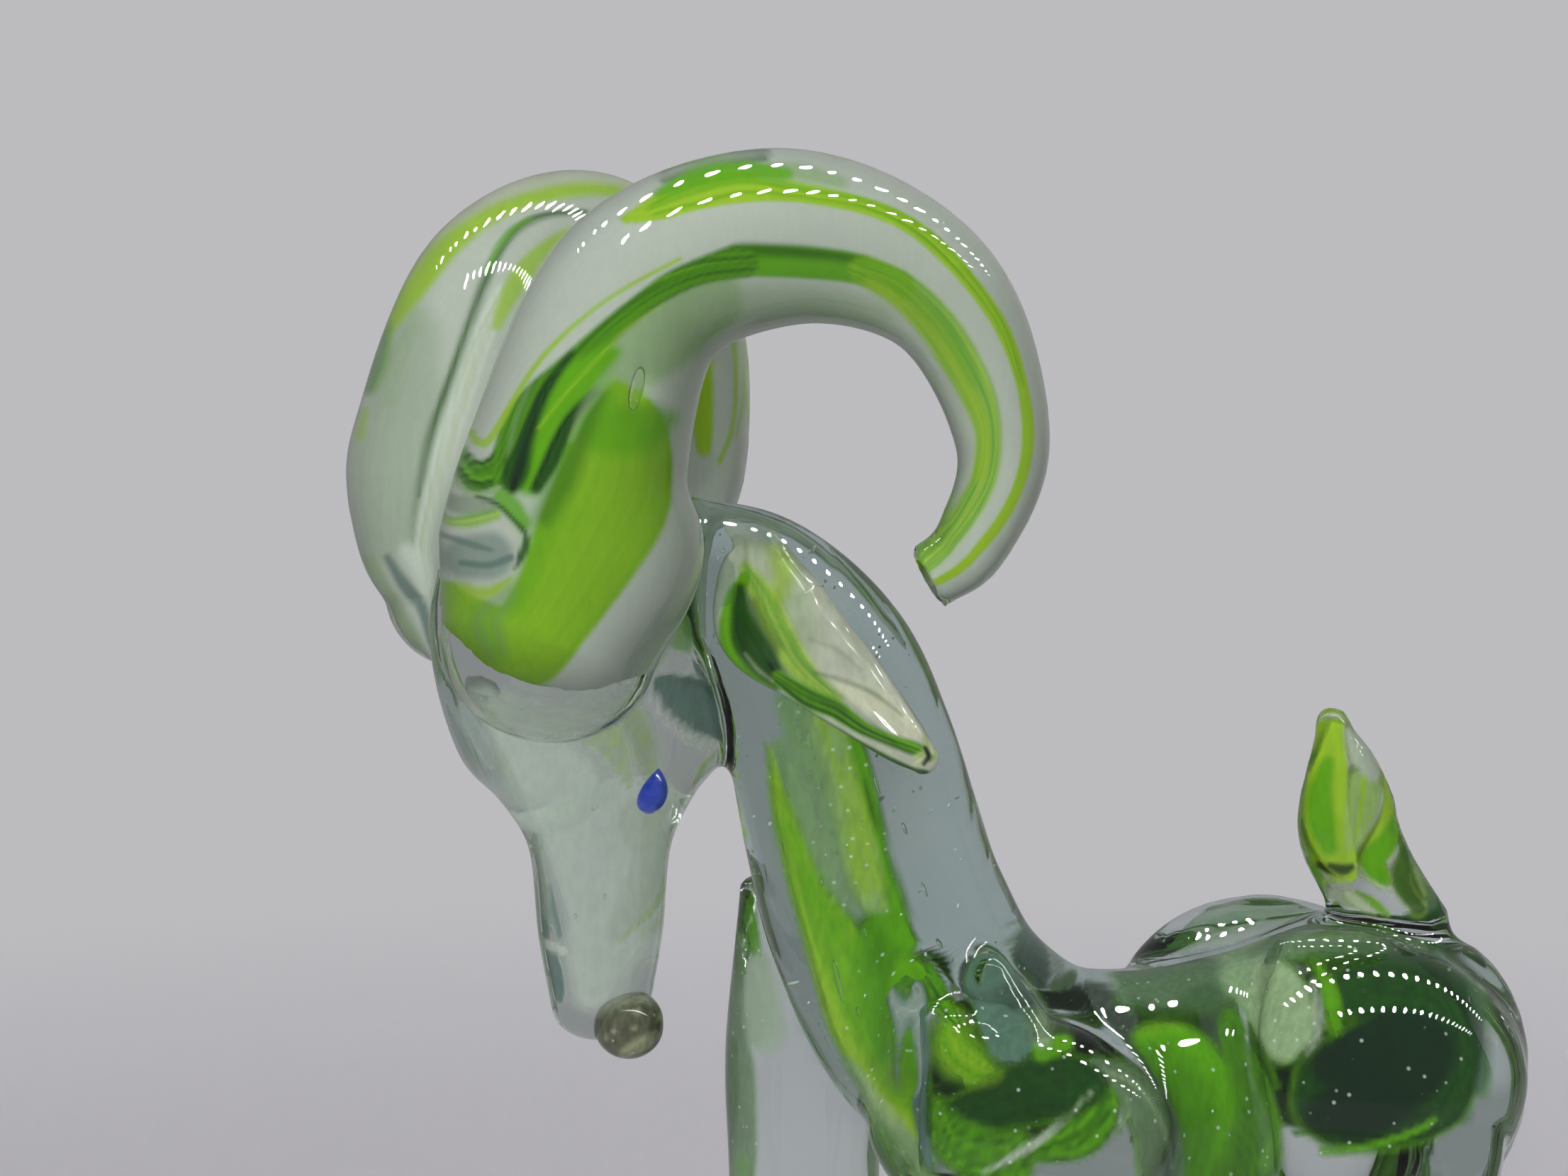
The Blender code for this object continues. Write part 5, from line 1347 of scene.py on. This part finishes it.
class RAM_OT_eyes_and_nose(bpy.types.Operator):
    """Set the cobalt eye drops and the smoky nose bead"""

    bl_idname = "ram.eyes_and_nose"
    bl_label = "Eyes and Nose"

    @staticmethod
    def ball(half, dome, steps):
        """A slightly stretched ball at the nose's place."""
        x, y, z = NOSE
        rings = [(x, y, z + 0.2, half, half), (x, y, z - 0.2, half, half)]
        return Skin(rings, HEAD_LEFT, (dome, dome), ahead=DOWN, facets=72, steps=steps)

    def execute(self, context):
        c = colours()
        n = Nodes("cobalt_drop_glass")
        drift = n.ramp(n.noise(700.0, 2.0), 0.35, 0.65, 0.0, 1.0)
        paler = [value * 1.25 + 0.02 for value in c.cobalt]
        n.wire(n.mix(drift, c.cobalt, paler), n.shader.inputs["Base Color"])
        n.fix({"Roughness": 0.2, "Coat Weight": 1.0, "Coat Roughness": 0.03})
        turns = np.linspace(0.35, math.pi - 0.3, 11)
        halves = [1.3 * math.sin(a) * math.sin(a / 2) ** 0.6 for a in turns]
        for name, (x, y, z) in EYES.items():
            drop = [(x + 0.3 * math.cos(a) + 0.1, y, z - 0.2 + 1.55 * math.cos(a), half, half * 0.85)
                    for a, half in zip(turns, halves)]
            skin = Skin(drop, HEAD_LEFT, (0.12, 0.1), ahead=DOWN, facets=48, steps=4)
            settle(mesh_of(name + "_drop", skin.points, skin.faces, n.material), "cobalt", name)
            if name == "right_eye":
                bed = skin.points.mean(axis=0) + np.array(HEAD_LEFT) * 0.55
                skin.points = bed + (skin.points - skin.points.mean(axis=0)) * 1.12
                paint = Paint(skin, c.milk, 0.9, cased=False)
                milky = swirl_glass("eye_bed_glass", 0.05)
                settle(mesh_of("eye_bed", skin.points, skin.faces, milky, paint), "milky_veil")
        bead = self.ball(2.4, 2.2, 2)
        smoky = clear_glass("smoke_bead_glass", c.smoke, c.smoke)
        settle(mesh_of("nose_bead", bead.points, bead.faces, smoky), "smoke_bead", "nose")
        heart = self.ball(2.15, 1.95, 4)
        # The dark heart carries the nose's cream specks and painted highlights, and the clear bead magnifies
        # it to fill the bead
        paint = Paint(heart, [value * 0.35 for value in c.smoke], 0.95, 3.0, 9, cased=False)
        paint.strokes(NOSE_SPECKS_AND_HIGHLIGHTS)
        speckled = swirl_glass("smoke_heart_glass", 0.2, 0.6)
        settle(mesh_of("nose_heart", heart.points, heart.faces, speckled, paint), "smoke_bead", "nose")
        return {"FINISHED"}


class RAM_OT_seeds(bpy.types.Operator):
    """Trap air bubbles and fine seeds in the clear glass"""

    bl_idname = "ram.seeds"
    bl_label = "Bubbles and Seeds"

    @staticmethod
    def pocket(centre, half, reach, along, facets, rings):
        """A closed egg of air round a centre, longer along one direction."""
        along = np.array(along) / np.linalg.norm(along)
        side = np.cross(along, (0.0, 1.0, 0.0))
        side = side / np.linalg.norm(side)
        ahead = np.cross(side, along)
        turns = np.arange(facets) * 2 * math.pi / facets
        points = [centre - along * reach]
        for rise in np.arange(1, rings) * math.pi / rings:
            ring = np.cos(turns)[:, None] * side + np.sin(turns)[:, None] * ahead
            points += list(centre - along * reach * math.cos(rise) + ring * half * math.sin(rise))
        points.append(centre + along * reach)
        last = len(points) - 1
        faces = [(0, 1 + (i + 1) % facets, 1 + i) for i in range(facets)]
        for low in range(1, last - facets, facets):
            for i in range(facets):
                after = (i + 1) % facets
                faces.append((low + i, low + after, low + facets + after, low + facets + i))
        low = last - facets
        faces += [(low + i, low + (i + 1) % facets, last) for i in range(facets)]
        return np.array(points), faces

    def execute(self, context):
        air = clear_glass("trapped_air", (1.0, 1.0, 1.0), (0.96, 0.98, 0.98), AIR_IN_GLASS_INDEX)
        pockets = []
        for across, down, y, half, reach, lean in BUBBLES:
            scale = (y - EYE_PLACE[1]) / FOCAL
            tilt = math.radians(lean)
            along = (math.sin(tilt), 0.0, math.cos(tilt))
            pockets.append(self.pocket(seen(across, down, y), half * scale, reach * scale, along, 20, 12))
        settle(mesh_of("air_bubbles", *joined(pockets), air), "aqua_clear")
        n = Nodes("fine_seeds")
        n.fix({"Roughness": 0.1, "Coat Weight": 1.0})
        shade = n.ramp(n.noise(300.0, 1.0), 0.45, 0.55, 0.0, 1.0)
        n.wire(n.mix(shade, (0.22, 0.30, 0.28), (0.85, 0.9, 0.88)), n.shader.inputs["Base Color"])
        draw = random.Random(11)
        rows = Skin.smooth(np.array(BODY), 8)
        pockets = []
        for _ in range(sizes().seed_count):
            x, y, z, depth, width = rows[draw.randrange(len(rows))]
            turn, far = draw.uniform(0, 2 * math.pi), math.sqrt(draw.random()) * 0.82
            step = math.cos(turn) * depth * far
            centre = np.array([x + step * 0.75, y + math.sin(turn) * width * far, z + step * 0.45])
            half = draw.uniform(0.05, 0.11)
            pockets.append(self.pocket(centre, half, half * draw.uniform(1.0, 2.2), (0.3, 0.05, 1.0), 6, 4))
        settle(mesh_of("fine_seeds", *joined(pockets), n.material), "aqua_clear")
        return {"FINISHED"}


class RAM_OT_stage(bpy.types.Operator):
    """Set the pale floor, the soft lamps, the backdrop colour and the camera"""

    bl_idname = "ram.stage"
    bl_label = "Stage"

    @staticmethod
    def lamps_in_a_row(room, way, mirror, ahead, first, last):
        """A row of small lamps overhead, from left to right, that only mirror-like rays meet."""
        def maths(kind, a, b):
            node = room.add("ShaderNodeMath", operation=kind)
            room.feed(a, node.inputs[0])
            room.feed(b, node.inputs[1])
            return node.outputs[0]

        per_height, narrow, shallow = 8.0, 5.5, 15.0  # how close the lamps are, and how small
        x, y, z = (way.outputs[axis] for axis in "XYZ")
        up = maths("MAXIMUM", z, 0.05)
        row = maths("SUBTRACT", maths("DIVIDE", y, up), ahead)
        across = maths("DIVIDE", x, up)
        beads = maths("PINGPONG", maths("MULTIPLY", across, per_height), 0.5)
        beads = maths("POWER", maths("MULTIPLY", beads, narrow), 2.0)
        from_middle = maths("ADD", maths("POWER", maths("MULTIPLY", row, shallow), 2.0), beads)
        lit = maths("MULTIPLY", maths("LESS_THAN", from_middle, 1.0), mirror)
        lit = maths("MULTIPLY", lit, maths("GREATER_THAN", across, first))
        return maths("MULTIPLY", lit, maths("LESS_THAN", across, last))

    def execute(self, context):
        scene = context.scene
        c = colours()
        scene.view_settings.view_transform = "Standard"
        pale = tuple(c.backdrop)
        world = bpy.data.worlds.new("pale_room")
        scene.world = world
        world.use_nodes = True
        room = Nodes("", world)
        way = room.add("ShaderNodeTexCoord").outputs["Generated"]
        rise = room.add("ShaderNodeSeparateXYZ")
        room.wire(way, rise.inputs[0])
        high = room.ramp(rise.outputs["Z"], 0.1, 0.9, 0.0, 1.0)
        shade = room.mix(high, pale, [value * 1.15 for value in pale])
        mirror = room.add("ShaderNodeLightPath").outputs["Is Glossy Ray"]
        dimmer = [value * MIRROR_SHARE for value in pale]
        shade = room.mix(mirror, shade, dimmer)
        for row in ((0.24, -1.0, 2.0), (-0.53, -0.4, 2.0)):
            shade = room.mix(self.lamps_in_a_row(room, rise, mirror, *row), shade, BEAD_GLOW)
        room.wire(shade, room.shader.inputs["Color"])
        world.cycles.sampling_method = "NONE"
        # The floor, which fades into the backdrop's colour
        n = Nodes("pale_floor")
        n.fix({"Base Color": (*[value * 0.92 for value in pale], 1.0), "Roughness": 0.9})
        place = n.add("ShaderNodeTexCoord").outputs["Object"]
        length = n.add("ShaderNodeVectorMath", operation="LENGTH")
        n.wire(place, length.inputs[0])
        far = n.ramp(length.outputs["Value"], 0.12, 0.32, 0.0, 1.0)
        glow = n.add("ShaderNodeEmission")
        mirror = n.add("ShaderNodeLightPath").outputs["Is Glossy Ray"]
        n.wire(n.mix(mirror, pale, dimmer), glow.inputs["Color"])
        n.give_way(far, glow.outputs["Emission"])
        turns = np.linspace(0, 2 * math.pi, 65)[:-1]
        rim = [(FLOOR_RADIUS * math.cos(a), FLOOR_RADIUS * math.sin(a), 0.0) for a in turns]
        data = bpy.data.meshes.new("floor")
        data.from_pydata(rim, [], [tuple(range(len(rim)))])
        data.materials.append(n.material)
        floor = bpy.data.objects.new("floor", data)
        scene.collection.objects.link(floor)
        # Lamps: place, aim, size and power in watts
        for name, place, aim, size, power in (
            ("soft_top", (0.05, -0.10, 0.62), (0, 0, 0.06), (0.5, 0.4), 0.7),
            ("soft_front", (-0.25, -0.70, 0.14), (0, 0, 0.07), (0.45, 0.25), 2.8),
            ("fill_back", (0.3, 0.6, 0.4), (0, 0, 0.06), (0.4, 0.3), 1.2),
        ):
            lamp = bpy.data.lights.new(name, "AREA")
            lamp.shape = "RECTANGLE"
            lamp.size, lamp.size_y = size
            lamp.energy = power
            obj = bpy.data.objects.new(name, lamp)
            obj.location = place
            obj.rotation_euler = (Vector(aim) - Vector(place)).to_track_quat("-Z", "Y").to_euler()
            obj.visible_camera = False
            obj.visible_glossy = False
            lamp.cycles.use_multiple_importance_sampling = False
            scene.collection.objects.link(obj)
        lens = bpy.data.cameras.new("main_camera")
        lens.sensor_width = 36.0
        lens.lens = FOCAL / PICTURE[0] * lens.sensor_width
        lens.clip_start = 0.005
        camera = bpy.data.objects.new("main_camera", lens)
        camera.location = (EYE_PLACE + SHIFT) * MM
        camera.rotation_euler = (math.pi / 2 - LOOK_DOWN, 0.0, 0.0)
        scene.collection.objects.link(camera)
        scene.camera = camera
        return {"FINISHED"}


STEPS = (
    RAM_OT_clear_glass,
    RAM_OT_horn_canes,
    RAM_OT_head_veil,
    RAM_OT_body_colour,
    RAM_OT_leg_colour,
    RAM_OT_ears,
    RAM_OT_tail_colour,
    RAM_OT_eyes_and_nose,
    RAM_OT_seeds,
    RAM_OT_stage,
)


class RAM_PT_panel(bpy.types.Panel):
    """Lists the ram's sizes, colours and steps in the sidebar"""

    bl_idname = "RAM_PT_panel"
    bl_label = "Glass Ram"
    bl_space_type = "VIEW_3D"
    bl_region_type = "UI"
    bl_category = "Glass Ram"

    def draw(self, context):
        layout = self.layout
        for group in (context.scene.ram_sizes, context.scene.ram_colours):
            box = layout.box()
            for name in group.__annotations__:
                box.prop(group, name)
        for step in STEPS:
            layout.operator(step.bl_idname)


CLASSES = (RamSizes, RamColours, *STEPS, RAM_PT_panel)


def register():
    for item in CLASSES:
        bpy.utils.register_class(item)
    bpy.types.Scene.ram_sizes = bpy.props.PointerProperty(type=RamSizes)
    bpy.types.Scene.ram_colours = bpy.props.PointerProperty(type=RamColours)


def unregister():
    del bpy.types.Scene.ram_colours
    del bpy.types.Scene.ram_sizes
    for item in reversed(CLASSES):
        bpy.utils.unregister_class(item)


def main():
    register()
    for step in STEPS:
        group, name = step.bl_idname.split(".")
        if getattr(getattr(bpy.ops, group), name)() != {"FINISHED"}:
            raise RuntimeError(f"{step.bl_label} did not finish")


if __name__ == "__main__":
    main()
